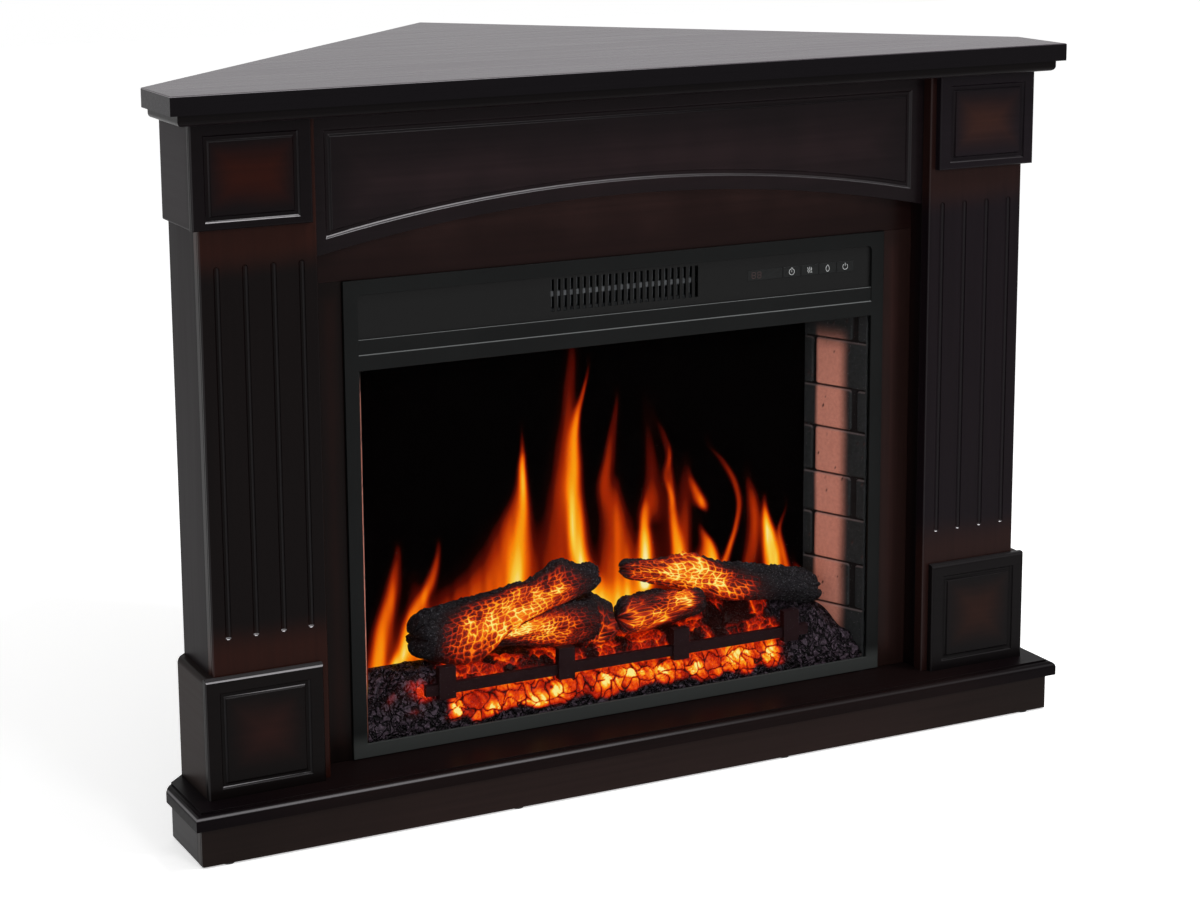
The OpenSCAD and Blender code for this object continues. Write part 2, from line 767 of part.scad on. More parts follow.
brick_low = inner_z + seat;
brick_high = heater_shelf_z - seat;
wall_len = wall_run / cos(wall_turn);
module brick_wall(side) color("#4a3f3c") handed(side)
  difference() {
    translate([0, 0, brick_low]) linear_extrude(brick_high - brick_low)
      polygon([[hearth_front_x, hearth_y], [hearth_front_x + brick_t, hearth_y],
        [hearth_back_x + brick_t, screen_y - seat], [hearth_back_x, screen_y - seat]]);
    translate([hearth_front_x, hearth_y, brick_low]) rotate([0, 0, wall_turn]) mortar();
  }

// grooves in the wall's inner face, which lies along +Y here: courses with staggered upright joints
first_course = 0.25;
stagger = [0.3, 0.72];
module mortar() {
  for (i = [0:floor((brick_high - brick_low) / course_h)]) {
    z = (i + first_course) * course_h;
    translate([-cut, -2 * brick_t, z]) cube([cut + joint_d, wall_len + 4 * brick_t, joint_w]);
    translate([-cut, wall_len * stagger[i % 2], z + joint_w - course_h])
      cube([cut + joint_d, joint_w, course_h - joint_w]);
  }
}

module flame_screen() color("#0a0808")
  translate([-inner_x + seat, screen_y, inner_z])
    cube([2 * (inner_x - seat), screen_t, heater_shelf_z - inner_z]);

big_log_d = 50;
small_log_d = 37;
big_log_y = hearth_y + big_log_d;
small_log_y = hearth_y + small_log_d;
upright_t = 7;
upright_y = hearth_y + upright_t + 1;
upright_xs = [for (i = [0:3]) (i - 1.5) * grate_w * 0.3];
left_log_seat = log_z + 12;
// logs: [x, height over the seat, radius] at the two ends, and [x, radius] of the knot
left_log_ends = [[-252, 28, 31], [-14, 64, 20]];
left_log_knot = [-68, 12];
right_log_ends = [[24, 80, 19], [296, 20, 26]];
right_log_knot = [130, 9];
near_log_ends = [[-138, 14, 20], [-20, 26, 23]];
near_log_knot = [-45, 5];
short_log_ends = [[14, 24, 23], [128, 20, 20]];
short_log_knot = [60, 3];
knot_w = 22;
// pads on the ember bed: centre x, centre y, half width, half depth, height
pad = [22, 12];
left_pad_x = -215;
right_pad_x = 245;
near_pad_x = -95;
short_pad_x = 80;
pads = concat([for (x = upright_xs) [x, upright_y, 1.3 * upright_w, 1.5 * upright_t, ember_front_z]],
  [[left_pad_x, big_log_y, pad[0], pad[1], left_log_seat], [right_pad_x, big_log_y, pad[0], pad[1], log_z],
    [near_pad_x, small_log_y, pad[0], pad[1], log_z], [short_pad_x, small_log_y, pad[0], pad[1], log_z]]);
function pad_at(x, y, i = 0) = i == len(pads) ? undef :
  abs(x - pads[i][0]) < pads[i][2] && abs(y - pads[i][1]) < pads[i][3] ? pads[i][4] : pad_at(x, y, i + 1);

function ramp(t) = let (s = min(1, max(0, t))) s * s * (3 - 2 * s);
// lumps of coal: two crossed waves whose creases lie between the lumps
lump_x = 61;
lump_y = 50;
lump_h = 9;
function lumps(x, y) =
  abs(sin(360 * x / lump_x + 90 * sin(360 * y / lump_y))) * abs(cos(360 * y / lump_y + 70 * sin(x)));
// height of the ember bed: a step at the grate, a slope up to the logs, and higher coals at both ends
front_step = 22;
slope_y = 14;
slope_d = 26;
shore_x = 285;
shore_h = 10;
shore_d = 30;
function bed_top(x, y) =
  let (d = y - hearth_y, pad = pad_at(x, y),
      shore = shore_h * ramp((abs(x) - shore_x) / shore_d),
      foot = ember_front_z - front_step + (front_step - 2) * ramp(d / upright_t),
      slope = foot + (ember_top_z - ember_front_z) * ramp((d - slope_y) / slope_d))
    !is_undef(pad) ? pad : min(slope + lump_h * lumps(x, y) - 2, ember_top_z - 1) + shore;

bed_cols = 52;
bed_rows = 10;
bed_gap = 0.6;
bed_back = screen_y - bed_gap;
function bed_point(i, j) =
  let (y = hearth_y + bed_gap + (bed_back - hearth_y - bed_gap) * j / bed_rows,
      half = hearth_front_x - (y - hearth_y) * tan(wall_turn) - bed_gap,
      x = half * (2 * i / bed_cols - 1))
    [x, y];

led_strip_w = 12;
led_y = hearth_y + 42;
bed_shell = 6;
// underside: a flat rim, and a hollow under the lumps for the lamps
function bed_under(i, j) =
  let (p = bed_point(i, j), rim = min(i, j, bed_cols - i, bed_rows - j))
    rim < 2 ? inner_z : bed_top(p[0], p[1]) - bed_shell;

// moulded shell of embers: upper and lower grids joined round the rim
module ember_bed() color("#3a1c12") {
  cols = bed_cols + 1;
  n = cols * (bed_rows + 1);
  top = [for (j = [0:bed_rows], i = [0:bed_cols])
    let (p = bed_point(i, j)) [p[0], p[1], bed_top(p[0], p[1])]];
  under = [for (j = [0:bed_rows], i = [0:bed_cols])
    let (p = bed_point(i, j)) [p[0], p[1], bed_under(i, j)]];
  rim = concat([for (i = [0:bed_cols]) i], [for (j = [1:bed_rows]) j * cols + bed_cols],
    [for (i = [1:bed_cols]) bed_rows * cols + bed_cols - i],
    [for (j = [1:bed_rows - 1]) (bed_rows - j) * cols]);
  m = len(rim);
  faces = concat(
    [for (j = [0:bed_rows - 1], i = [0:bed_cols - 1], h = [0, 1]) let (a = j * cols + i)
      h == 0 ? [a, a + cols, a + cols + 1] : [a, a + cols + 1, a + 1]],
    [for (j = [0:bed_rows - 1], i = [0:bed_cols - 1], h = [0, 1]) let (a = n + j * cols + i)
      h == 0 ? [a, a + cols + 1, a + cols] : [a, a + 1, a + cols + 1]],
    [for (i = [0:m - 1], h = [0, 1]) let (a = rim[i], b = rim[(i + 1) % m])
      h == 0 ? [a, b, n + b] : [a, n + b, n + a]]);
  polyhedron(concat(top, under), faces);
}

// log: rings in upright planes along x, with a knot, flattened where it is seated
log_rings = 22;
log_sides = 14;
module knobbly_log(y, ends, knot, seat_z, turn) {
  points = [for (i = [0:log_rings], k = [0:log_sides - 1])
    let (t = i / log_rings, axis = ends[0] + t * (ends[1] - ends[0]), a = 360 * k / log_sides,
        tip = i == 0 || i == log_rings ? 0.72 : 1,
        bump = knot[1] * exp(-pow((axis[0] - knot[0]) / knot_w, 2)) * max(0, sin(a)),
        bark = 1 + 0.06 * sin(3 * a + turn + 300 * t) + 0.04 * sin(5 * a - 500 * t),
        r = tip * (axis[2] * bark + bump))
      [axis[0], y + r * cos(a), seat_z + max(0, axis[1] + r * sin(a))]];
  s = log_sides;
  faces = concat(
    [for (i = [0:log_rings - 1], k = [0:s - 1], h = [0, 1])
      let (a = i * s + k, b = i * s + (k + 1) % s, c = b + s, d = a + s) h == 0 ? [a, c, b] : [a, d, c]],
    [[for (k = [0:s - 1]) k]], [[for (k = [0:s - 1]) log_rings * s + s - 1 - k]]);
  polyhedron(points, faces);
}

module left_log() color("#2b2422")
  knobbly_log(big_log_y, left_log_ends, left_log_knot, left_log_seat, 0);

module right_log() color("#2b2422")
  knobbly_log(big_log_y, right_log_ends, right_log_knot, log_z, 90);

module small_logs() color("#2b2422") {
  knobbly_log(small_log_y, near_log_ends, near_log_knot, log_z, 40);
  knobbly_log(small_log_y, short_log_ends, short_log_knot, log_z, 140);
}

bar_h = 13;
bar_z = ember_front_z + 5;
module grate() color("#151515") {
  translate([-grate_w / 2, upright_y - upright_t / 2, bar_z]) cube([grate_w, upright_t, bar_h]);
  for (x = upright_xs)
    translate([x - upright_w / 2, upright_y - upright_t, ember_front_z])
      cube([upright_w, 1.5 * upright_t, upright_h]);
}

// ---------- flame drive ----------

bush_len = 12;
bush_r = 9;
motor_w = 17;
motor_r = 24;
motor_ear = [3, 68, 16];
motor_wall = 6;
foil_n = 12;
foil_pitch = 2 * (inner_x - 30) / foil_n;
foil_t = 0.8;
foil_turn = 50;
foil_skew = 14;
shaft_end = 3;
module flame_rotor() color("#c9ccd0")
  translate([0, rotor_y, rotor_z]) {
    translate([shaft_end - inner_x, 0, 0]) rotate([0, 90, 0])
      cylinder(h = 2 * inner_x - shaft_end - motor_wall - shaft_end, r = shaft_r, $fn = 32);
    for (i = [0:foil_n - 1]) translate([(i - (foil_n - 1) / 2) * foil_pitch, 0, 0])
      rotate([i * foil_turn, 0, 0]) rotate([0, 0, i % 2 == 0 ? foil_skew : -foil_skew])
        cube([foil_pitch * 0.8, 1.6 * rotor_r, foil_t], center = true);
  }

module shaft_bore(h) {
  rotate([0, 90, 0]) cylinder(h = h, r = shaft_r + bush_gap, $fn = 48);
}

module rotor_motor() color("#7d7f80")
  translate([inner_x - motor_w, rotor_y, rotor_z]) difference() {
    union() {
      rotate([0, 90, 0]) cylinder(h = motor_w, r = motor_r);
      translate([motor_w - motor_ear[0], -motor_ear[1] / 2, -motor_ear[2] / 2]) cube(motor_ear);
    }
    translate([-cut, 0, 0]) shaft_bore(motor_w - motor_wall + cut);
  }

housing_x = slot_pitch * slot_n / 2 + 5;
module bearing_bushes() color("#b08d3c") {
  translate([-inner_x, rotor_y, rotor_z]) bush();
  translate([-housing_x - sheet_t - bush_len, blower_y, vent_z]) bush();
}

module bush() {
  difference() {
    rotate([0, 90, 0]) cylinder(h = bush_len, r = bush_r);
    translate([-cut, 0, 0]) shaft_bore(bush_len + 2 * cut);
  }
}

led_n = 20;
led_pitch = 26;
led_r = 2.5;
led_h = 1.8;
strip_t = 1.6;
module led_strip(y) {
  w = led_n * led_pitch - led_pitch / 2;
  translate([-w / 2, y - led_strip_w / 2, inner_z]) cube([w, led_strip_w, strip_t]);
  for (i = [0:led_n - 1]) translate([(i - (led_n - 1) / 2) * led_pitch, y, inner_z + strip_t])
    cylinder(h = led_h, r = led_r, $fn = 16);
}

module led_strips() color("#e8e3d0") {
  led_strip(led_y);
  led_strip(casing_back_y - 2 * led_strip_w);
}

// ---------- heater ----------

housing_low = vent_z - slot_h / 2 - 3;
housing_high = inner_top - seat;
housing_back = blower_y + blower_r + 6;
intake_inset = 8;
module blower_housing() color("#9a9d9e")
  difference() {
    translate([-housing_x - sheet_t, fascia_back, housing_low])
      cube([2 * (housing_x + sheet_t), housing_back - fascia_back, housing_high - housing_low]);
    translate([-housing_x, fascia_back - cut, housing_low + sheet_t])
      cube([2 * housing_x, housing_back - fascia_back + cut - sheet_t,
        housing_high - housing_low - 2 * sheet_t]);
    translate([intake_inset - housing_x, blower_y - blower_r / 4, housing_high - sheet_t - cut])
      cube([2 * (housing_x - intake_inset), blower_r, sheet_t + 2 * cut]);
    translate([-housing_x - sheet_t - cut, blower_y, vent_z]) rotate([0, 90, 0])
      cylinder(h = 2 * (housing_x + sheet_t + cut), r = shaft_r + seat, $fn = 48);
  }

heater_y = fascia_back + 8;
heater_t = 14;
fin_t = 0.6;
tube_h = 6;
// fins pressed on to three flat tubes, the middle one the thickest
module heater_element() color("#c8cacc") {
  w = 2 * (housing_x - seat);
  low = housing_low + sheet_t + seat;
  high = 2 * vent_z - low;
  for (z = [[low, tube_h / 2], [vent_z - tube_h / 2, tube_h], [high - tube_h / 2, tube_h / 2]])
    translate([-w / 2, heater_y, z[0]]) cube([w, heater_t, z[1]]);
  for (i = [0:fin_n]) translate([-w / 2 + (w - fin_t) * i / fin_n, heater_y + cut, low])
    cube([fin_t, heater_t - 2 * cut, high - low]);
}

wheel_half = housing_x - 4;
blade_turn = 28;
disc_t = 1;
module blower_wheel() color("#d0d2d4")
  translate([0, blower_y, vent_z]) rotate([0, 90, 0]) {
    translate([0, 0, -housing_x - bush_len]) cylinder(h = 2 * (housing_x + bush_len), r = shaft_r, $fn = 32);
    for (x = [-wheel_half, -disc_t / 2, wheel_half - disc_t])
      translate([0, 0, x]) cylinder(h = disc_t, r = blower_r);
    for (i = [0:blade_n - 1]) rotate(360 * i / blade_n)
      translate([blower_r * 0.82, 0, -wheel_half]) rotate(blade_turn) linear_extrude(2 * wheel_half)
        square([blower_r * 0.28, foil_t], center = true);
  }

fan_motor_len = 44;
fan_motor_r = 17;
fan_stack = [26, 38, 38];
module blower_motor() color("#6a6c6d")
  translate([housing_x + sheet_t, blower_y, vent_z]) difference() {
    union() {
      rotate([0, 90, 0]) cylinder(h = fan_motor_len, r = fan_motor_r);
      translate([motor_wall, -fan_stack[1] / 2, -fan_stack[2] / 2]) cube(fan_stack);
    }
    translate([-cut, 0, 0]) shaft_bore(bush_len + 2 + cut);
  }

// ---------- controls ----------

board_y = fascia_back + standoff_h;
pcb_t = 1.6;
switch_h = 3.2;
switch_r = 3;
module control_board() color("#2f5d3a") {
  translate([board_x, board_y, panel_z - board_h / 2]) cube([board_w, pcb_t, board_h]);
  for (i = [0:3]) translate([key_x + (i + 0.5) * key_pitch - key_rib / 2, board_y - switch_h, panel_z])
    rotate([-90, 0, 0]) cylinder(h = switch_h, r = switch_r, $fn = 24);
}

lip_t = 1;
lip_w = 2;
module display_window() color("#0c0c0d") {
  translate([panel_x, seat_y, panel_z - key_h / 2]) cube([display_w, fascia_t, key_h]);
  translate([panel_x, fascia_back, panel_z - key_h / 2 - lip_w]) cube([display_w, lip_t, key_h + 2 * lip_w]);
}

// key: its face, a lip that holds it behind the fascia, and a stem that presses the switch
stem_r = 2;
stem_d = standoff_h - switch_h - key_travel - 2 * seat;
module key(i) color("#161717")
  translate([key_x + i * key_pitch + key_gap, 0, panel_z]) {
    w = key_pitch - key_rib - 2 * key_gap;
    translate([0, seat_y - key_gap, -key_h / 2]) cube([w, fascia_t + key_gap + lip_t, key_h]);
    translate([0, fascia_back + seat, -key_h / 2 - lip_w]) cube([w, lip_t, key_h + 2 * lip_w]);
    translate([w / 2, fascia_back, 0]) rotate([-90, 0, 0]) cylinder(h = stem_d, r = stem_r, $fn = 24);
  }

shelf_board();
under_board();
frieze_board();
header_board();
stile(-1);  // left_stile
stile(1);  // right_stile
pilaster_front(-1);  // left_pilaster_front
pilaster_front(1);  // right_pilaster_front
pilaster_side(-1);  // left_pilaster_side
pilaster_side(1);  // right_pilaster_side
pilaster_returns();
cap_block(-1);  // left_cap_block
cap_block(1);  // right_cap_block
cap_returns();
base_block(-1);  // left_base_block
base_block(1);  // right_base_block
base_returns();
plinth_board();
plinth_front();
plinth_sides();
plinth_backs();
plinth_bearers();
floor_glides();
corner_post();
top_rail(-1);  // left_top_rail
top_rail(1);  // right_top_rail
glue_blocks();
insert_frame();
control_fascia();
glass_pane();
casing_floor();
casing_roof();
casing_side(-1);  // left_casing
casing_side(1);  // right_casing
casing_back();
casing_screws();
heater_shelf();
brick_wall(-1);  // left_brick_wall
brick_wall(1);  // right_brick_wall
flame_screen();
ember_bed();
left_log();
right_log();
small_logs();
grate();
flame_rotor();
rotor_motor();
bearing_bushes();
led_strips();
heater_element();
blower_housing();
blower_wheel();
blower_motor();
control_board();
display_window();
key(0);  // timer_key
key(1);  // heat_key
key(2);  // flame_key
key(3);  // power_key
cord_gland();
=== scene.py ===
from math import cos, pi, radians, sin

import bpy
import numpy as np
from mathutils import Matrix, Vector


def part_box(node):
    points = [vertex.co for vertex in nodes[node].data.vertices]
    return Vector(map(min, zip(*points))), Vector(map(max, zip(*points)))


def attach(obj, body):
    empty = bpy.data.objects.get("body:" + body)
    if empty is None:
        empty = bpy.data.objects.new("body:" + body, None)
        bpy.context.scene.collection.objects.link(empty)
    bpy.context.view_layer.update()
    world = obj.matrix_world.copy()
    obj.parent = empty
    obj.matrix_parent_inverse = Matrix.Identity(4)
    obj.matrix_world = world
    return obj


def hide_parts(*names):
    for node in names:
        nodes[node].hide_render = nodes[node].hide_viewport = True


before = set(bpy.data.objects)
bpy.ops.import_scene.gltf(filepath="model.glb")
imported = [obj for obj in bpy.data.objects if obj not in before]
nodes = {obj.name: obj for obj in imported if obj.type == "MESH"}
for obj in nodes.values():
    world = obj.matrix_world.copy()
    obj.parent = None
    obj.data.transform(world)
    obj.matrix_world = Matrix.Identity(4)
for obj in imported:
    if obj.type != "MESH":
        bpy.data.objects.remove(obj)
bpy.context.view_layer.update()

scene = bpy.context.scene
scene.view_settings.view_transform = "Standard"

# ---------- camera ----------
# The photograph is taken from the left and from a little over the shelf, with a long lens.
# A small downward shift of the lens keeps the uprights nearly parallel, as they are there.
yaw, pitch, roll = 0.47093, 0.20083, -0.0054
eye = Vector((-1.4584, -3.0535, 1.1805))
camera = bpy.data.objects.new("camera", bpy.data.cameras.new("camera"))
camera.data.sensor_width = 36
camera.data.lens = 81.97
camera.data.shift_y = -0.1
camera.data.clip_end = 60
ahead = Vector((sin(yaw) * cos(pitch), cos(yaw) * cos(pitch), -sin(pitch)))
level = Vector((cos(yaw), -sin(yaw), 0))
aside = level * cos(roll) + level.cross(ahead) * sin(roll)
camera.matrix_world = Matrix.Translation(eye) @ Matrix(
    (aside, aside.cross(ahead), -ahead)).transposed().to_4x4()
scene.collection.objects.link(camera)
scene.camera = camera


# ---------- studio: floor, lamps and white surroundings ----------
# A pale sweep of floor under the fireplace. The room round it is white to the camera and to
# what reflects it, and softer for the light that it gives; three square lamps add the rest.
class Finish:
    """A material, or the world, made of nodes. Sockets take a value or another node's output."""

    def __init__(self, name, world=None, **shader):
        self.material = world or bpy.data.materials.new(name)
        self.material.use_nodes = True
        self.tree = self.material.node_tree
        self.shader = self.tree.nodes["Background" if world else "Principled BSDF"]
        self.set(**shader)

    def put(self, socket, value):
        """Gives one socket its value, or links it to an output."""
        if isinstance(value, bpy.types.NodeSocket):
            self.tree.links.new(value, socket)
        else:
            socket.default_value = value

    def set(self, **inputs):
        """Gives the shader's own sockets their values, where _ stands for a space."""
        for key, value in inputs.items():
            self.put(self.shader.inputs[key.replace("_", " ")], value)
        return self

    def node(self, kind, inputs=(), out=0, **settings):
        """New node of that kind, with its inputs and settings. Gives the output named or
        numbered out, from which .node.outputs reaches the others."""
        made = self.tree.nodes.new("ShaderNode" + kind)
        for key, value in settings.items():
            setattr(made, key, value)
        for key, value in dict(inputs).items():
            self.put(made.inputs[key], value)
        return made.outputs[out]

    def place(self, scale=(1, 1, 1), centre=(0, 0, 0)):
        """The piece's own coordinates in metres, measured from centre and then scaled."""
        start = [-a * b for a, b in zip(centre, scale)]
        return self.node("Mapping", {"Vector": self.node("TexCoord", out="Object"), "Scale": scale,
                                     "Location": start})

    def grained(self, grain, across, along):
        """The piece's own coordinates, scaled by along on the grain's axis and by across off it."""
        return self.place([along if axis == grain else across for axis in range(3)])

    def axes(self, vector):
        """The x, y and z of a vector."""
        return self.node("SeparateXYZ", {"Vector": vector}).node.outputs

    def normal(self):
        """The x, y and z of the direction in which the surface faces."""
        return self.axes(self.node("TexCoord", out="Normal"))

    def stored(self, name):
        """The number that the mesh keeps at its points under that name."""
        return self.node("Attribute", out="Fac", attribute_name=name)

    def noise(self, at, scale=1.0, detail=4.0, rough=0.55, warp=0.0):
        return self.node("TexNoise", {"Vector": at, "Scale": scale, "Detail": detail,
                                      "Roughness": rough, "Distortion": warp})

    def math(self, kind, a, b=0.0):
        return self.node("Math", {0: a, 1: b}, operation=kind)

    def span(self, value, low, high, to_low=0.0, to_high=1.0):
        """value, from low to high, carried smoothly to to_low to to_high."""
        return self.node("MapRange", {"Value": value, "From Min": low, "From Max": high,
                                      "To Min": to_low, "To Max": to_high},
                         interpolation_type="SMOOTHSTEP")

    def mix(self, share, a, b, blend="MIX"):
        """Colours a and b mixed, with share of b. The node's colours are its sockets 6, 7 and 2."""
        return self.node("Mix", {0: share, 6: a, 7: b}, out=2, data_type="RGBA", blend_type=blend)

    def ramp(self, value, *stops):
        """Colour over value, from pairs of place and colour."""
        made = self.node("ValToRGB", {"Fac": value}).node
        band = made.color_ramp.elements
        while len(band) < len(stops):
            band.new(1.0)
        for stop, (place, colour) in zip(band, stops):
            stop.position = place
            stop.color = colour
        return made.outputs["Color"]

    def mottle(self, pattern, low, high):
        """Colour that goes from one tint to another as the pattern goes from 0.3 to 0.7."""
        return self.ramp(pattern, (0.3, tint(*low)), (0.7, tint(*high)))

    def crackle(self, scale, sway):
        """Distance to the nearest border of random cells, in parts of a cell, where noise bends
        the borders by sway in metres."""
        bend = self.noise(self.place(), 80.0, 2.0, 0.5).node.outputs["Color"]
        bend = self.node("VectorMath", {0: bend, 1: (sway, sway, sway)}, operation="MULTIPLY")
        bent = self.node("VectorMath", {0: self.place(), 1: bend}, operation="ADD")
        return self.node("TexVoronoi", {"Vector": bent, "Scale": scale}, feature="DISTANCE_TO_EDGE")

    def bump(self, height, depth, strength=1.0):
        """Relief of that depth in metres."""
        relief = self.node("Bump", {"Height": height, "Distance": depth, "Strength": strength})
        return self.set(Normal=relief)

    def in_view(self):
        """1 for the camera and for what shows in a reflection or through glass, otherwise 0."""
        rays = self.node("LightPath").node.outputs
        shown = self.math("ADD", rays["Is Camera Ray"], rays["Is Glossy Ray"])
        return self.math("MINIMUM", self.math("ADD", shown, rays["Is Transmission Ray"]), 1.0)


def tint(red, green, blue):
    """A colour as a screen shows it, 0 to 255, made linear by the sRGB curve."""
    part = np.array([red, green, blue]) / 255
    return (*np.where(part < 0.04045, part / 12.92, ((part + 0.055) / 1.055) ** 2.4), 1.0)


def paint(finish, *names):
    """Gives CAD nodes their material."""
    for name in names:
        nodes[name].data.materials.clear()
        nodes[name].data.materials.append(finish.material)


ROOM_LIGHT, FLOOR_GLOW, FLOOR_REACH = 0.55, 0.5, 9.0
MIDDLE = Vector((0, 0, 0.4))
scene.world = bpy.data.worlds.new("white_room")
room = Finish("white_room", scene.world)
room.set(Color=(1, 1, 1, 1), Strength=room.span(room.in_view(), 0.0, 1.0, ROOM_LIGHT, 1.0))

floor_mesh = bpy.data.meshes.new("floor")
floor_mesh.from_pydata([(-FLOOR_REACH, -FLOOR_REACH, 0), (FLOOR_REACH, -FLOOR_REACH, 0),
                        (FLOOR_REACH, FLOOR_REACH, 0), (-FLOOR_REACH, FLOOR_REACH, 0)],
                       [], [(0, 1, 2, 3)])
floor = bpy.data.objects.new("floor", floor_mesh)
scene.collection.objects.link(floor)
pale = Finish("pale_floor", Roughness=0.9, Specular_IOR_Level=0.1)
pale.set(Base_Color=pale.ramp(pale.noise(pale.place(), 3.0), (0.0, (0.9, 0.9, 0.9, 1)),
                              (1.0, (0.93, 0.93, 0.93, 1))),
         Emission_Color=(1, 1, 1, 1),
         Emission_Strength=pale.math("MULTIPLY", pale.in_view(), FLOOR_GLOW))
floor_mesh.materials.append(pale.material)


def lamp(name, place, size, power):
    """A square soft lamp, size metres wide, of that power in watts, aimed at the middle."""
    light = bpy.data.lights.new(name, "AREA")
    light.size = size
    light.energy = power
    made = bpy.data.objects.new(name, light)
    made.location = place
    made.rotation_euler = (MIDDLE - Vector(place)).to_track_quat("-Z", "Y").to_euler()
    scene.collection.objects.link(made)


lamp("top_lamp", (1.1, -1.1, 2.9), 0.6, 42)
lamp("side_lamp", (-3.2, -0.6, 1.3), 1.6, 9)
lamp("front_lamp", (0.3, -3.6, 2.2), 0.7, 22)

# ---------- mantel: espresso boards ----------
# Fibreboard with a wood-grain skin, stained a dark red brown in the middle of each board and
# sprayed nearly black towards its edges, under a smooth satin lacquer.
X, Y, Z = range(3)
# the last colour is the pale one of the painted highlight on the boards' edges and ledges
NIGHT, SIDE, PAINTED_HIGHLIGHT = (11, 7, 8), (22, 17, 19), (236, 232, 236)
NARROW_EDGE, DULL = (-0.01, 0.012), (0.4, 0.03)
BOARD_EDGE, SHEET_EDGE, MOULDED_EDGE = 0.0011, 0.0007, 0.0005


def espresso(name, middle, edge, grain, fade, across, streaks=0.12, gloss=(0.28, 0.05),
             highlight=(0, 0, 1), ends=None, side_shading=None):
    """Stain for one board: one colour in its middle, and another within fade of its edges, where
    fade gives in metres where the change ends and begins. grain is the axis of the fibres, across
    the two axes of the board's face, gloss its roughness and specular level. highlight says how
    strongly a pale painted highlight lies on its rounded edges and on its ledges, and how much of
    that its upper half keeps. ends gives other boards between which the face shows, and
    side_shading the colours of painted light and shade on the upright faces in front and on the left."""
    low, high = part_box(name)
    if ends:
        low.z, high.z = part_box(ends[0])[1].z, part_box(ends[1])[0].z
    finish = Finish(name + "_stain", Specular_IOR_Level=gloss[1])
    fibre = finish.noise(finish.grained(grain, 190.0, 4.0), 1.0, 6.0, 0.6, 0.3)
    # depth in from the nearest edge of the face, made uneven by a cloud of noise
    off_centre = finish.node("VectorMath", {0: finish.place(centre=(low + high) / 2)},
                             operation="ABSOLUTE")
    inside = finish.axes(finish.node("VectorMath", {0: (high - low) / 2, 1: off_centre},
                                     operation="SUBTRACT"))
    depth = finish.math("MINIMUM", inside[across[0]], inside[across[1]])
    cloud = finish.math("SUBTRACT", finish.noise(finish.place(), 11.0, 2.0), 0.5)
    depth = finish.math("ADD", depth, finish.math("MULTIPLY", cloud, 0.4 * fade[1]))
    colour = finish.mix(finish.span(depth, *fade), tint(*edge), tint(*middle))
    thin, thick = 1 - streaks, 1 + streaks
    streak = finish.ramp(fibre, (0.32, (thin, thin, thin, 1)), (0.68, (thick, thick, thick, 1)))
    colour = finish.mix(1.0, colour, streak, "MULTIPLY")
    facing = finish.normal()
    # painted light and shade: upright faces take a darker colour in front and a lighter one on the
    # left, where the light falls
    if side_shading:
        upright = finish.mix(finish.span(facing[X], -0.9, -0.5), tint(*side_shading[1]), tint(*side_shading[0]))
        colour = finish.mix(finish.span(facing[Z], 0.3, 0.6), upright, colour)
    # painted highlight on rounded edges that slant upwards, ledges that face up and upright corners
    # that face the front left; on the rounded edges it fades towards the mantel's right end
    where = finish.axes(finish.place(centre=(0, 0, (low.z + high.z) / 2)))
    kept = finish.span(where[Z], -0.003, 0.003, 1, highlight[2])
    rounded = finish.math("MULTIPLY", finish.span(facing[Z], 0.3, 0.5, 0, highlight[0]),
                          finish.span(facing[Z], 0.6, 0.78, 1, 0))
    rounded = finish.math("MULTIPLY", rounded, kept)
    rounded = finish.math("MULTIPLY", rounded, finish.span(where[X], -0.3, 0.2, 1, 0.12))
    ledge_highlight = finish.math("MULTIPLY", finish.span(facing[Z], 0.75, 0.9, 0, highlight[1]), kept)
    corner = finish.math("MULTIPLY", facing[X], facing[Y])
    highlight_mask = finish.math("MAXIMUM", rounded, finish.span(corner, 0.25, 0.48, 0, 0.055 * highlight[0]))
    highlight_mask = finish.math("MAXIMUM", highlight_mask, ledge_highlight)
    finish.set(Base_Color=finish.mix(highlight_mask, colour, tint(*PAINTED_HIGHLIGHT)),
               Roughness=finish.span(fibre, 0.3, 0.7, gloss[0], gloss[0] + 0.05))
    return finish.bump(fibre, 0.00012, 0.2)


def soften(node, width):
    """Rounds a piece's sharp edges by that width in metres, as sanding and lacquer do."""
    nodes[node].modifiers.new("joined", "WELD").merge_threshold = 0.00002
    edges = nodes[node].modifiers.new("rounded", "BEVEL")
    edges.width = width
    edges.segments = 2
    edges.limit_method = "ANGLE"
    edges.angle_limit = radians(38)
    nodes[node].modifiers.new("flat_faces", "WEIGHTED_NORMAL")


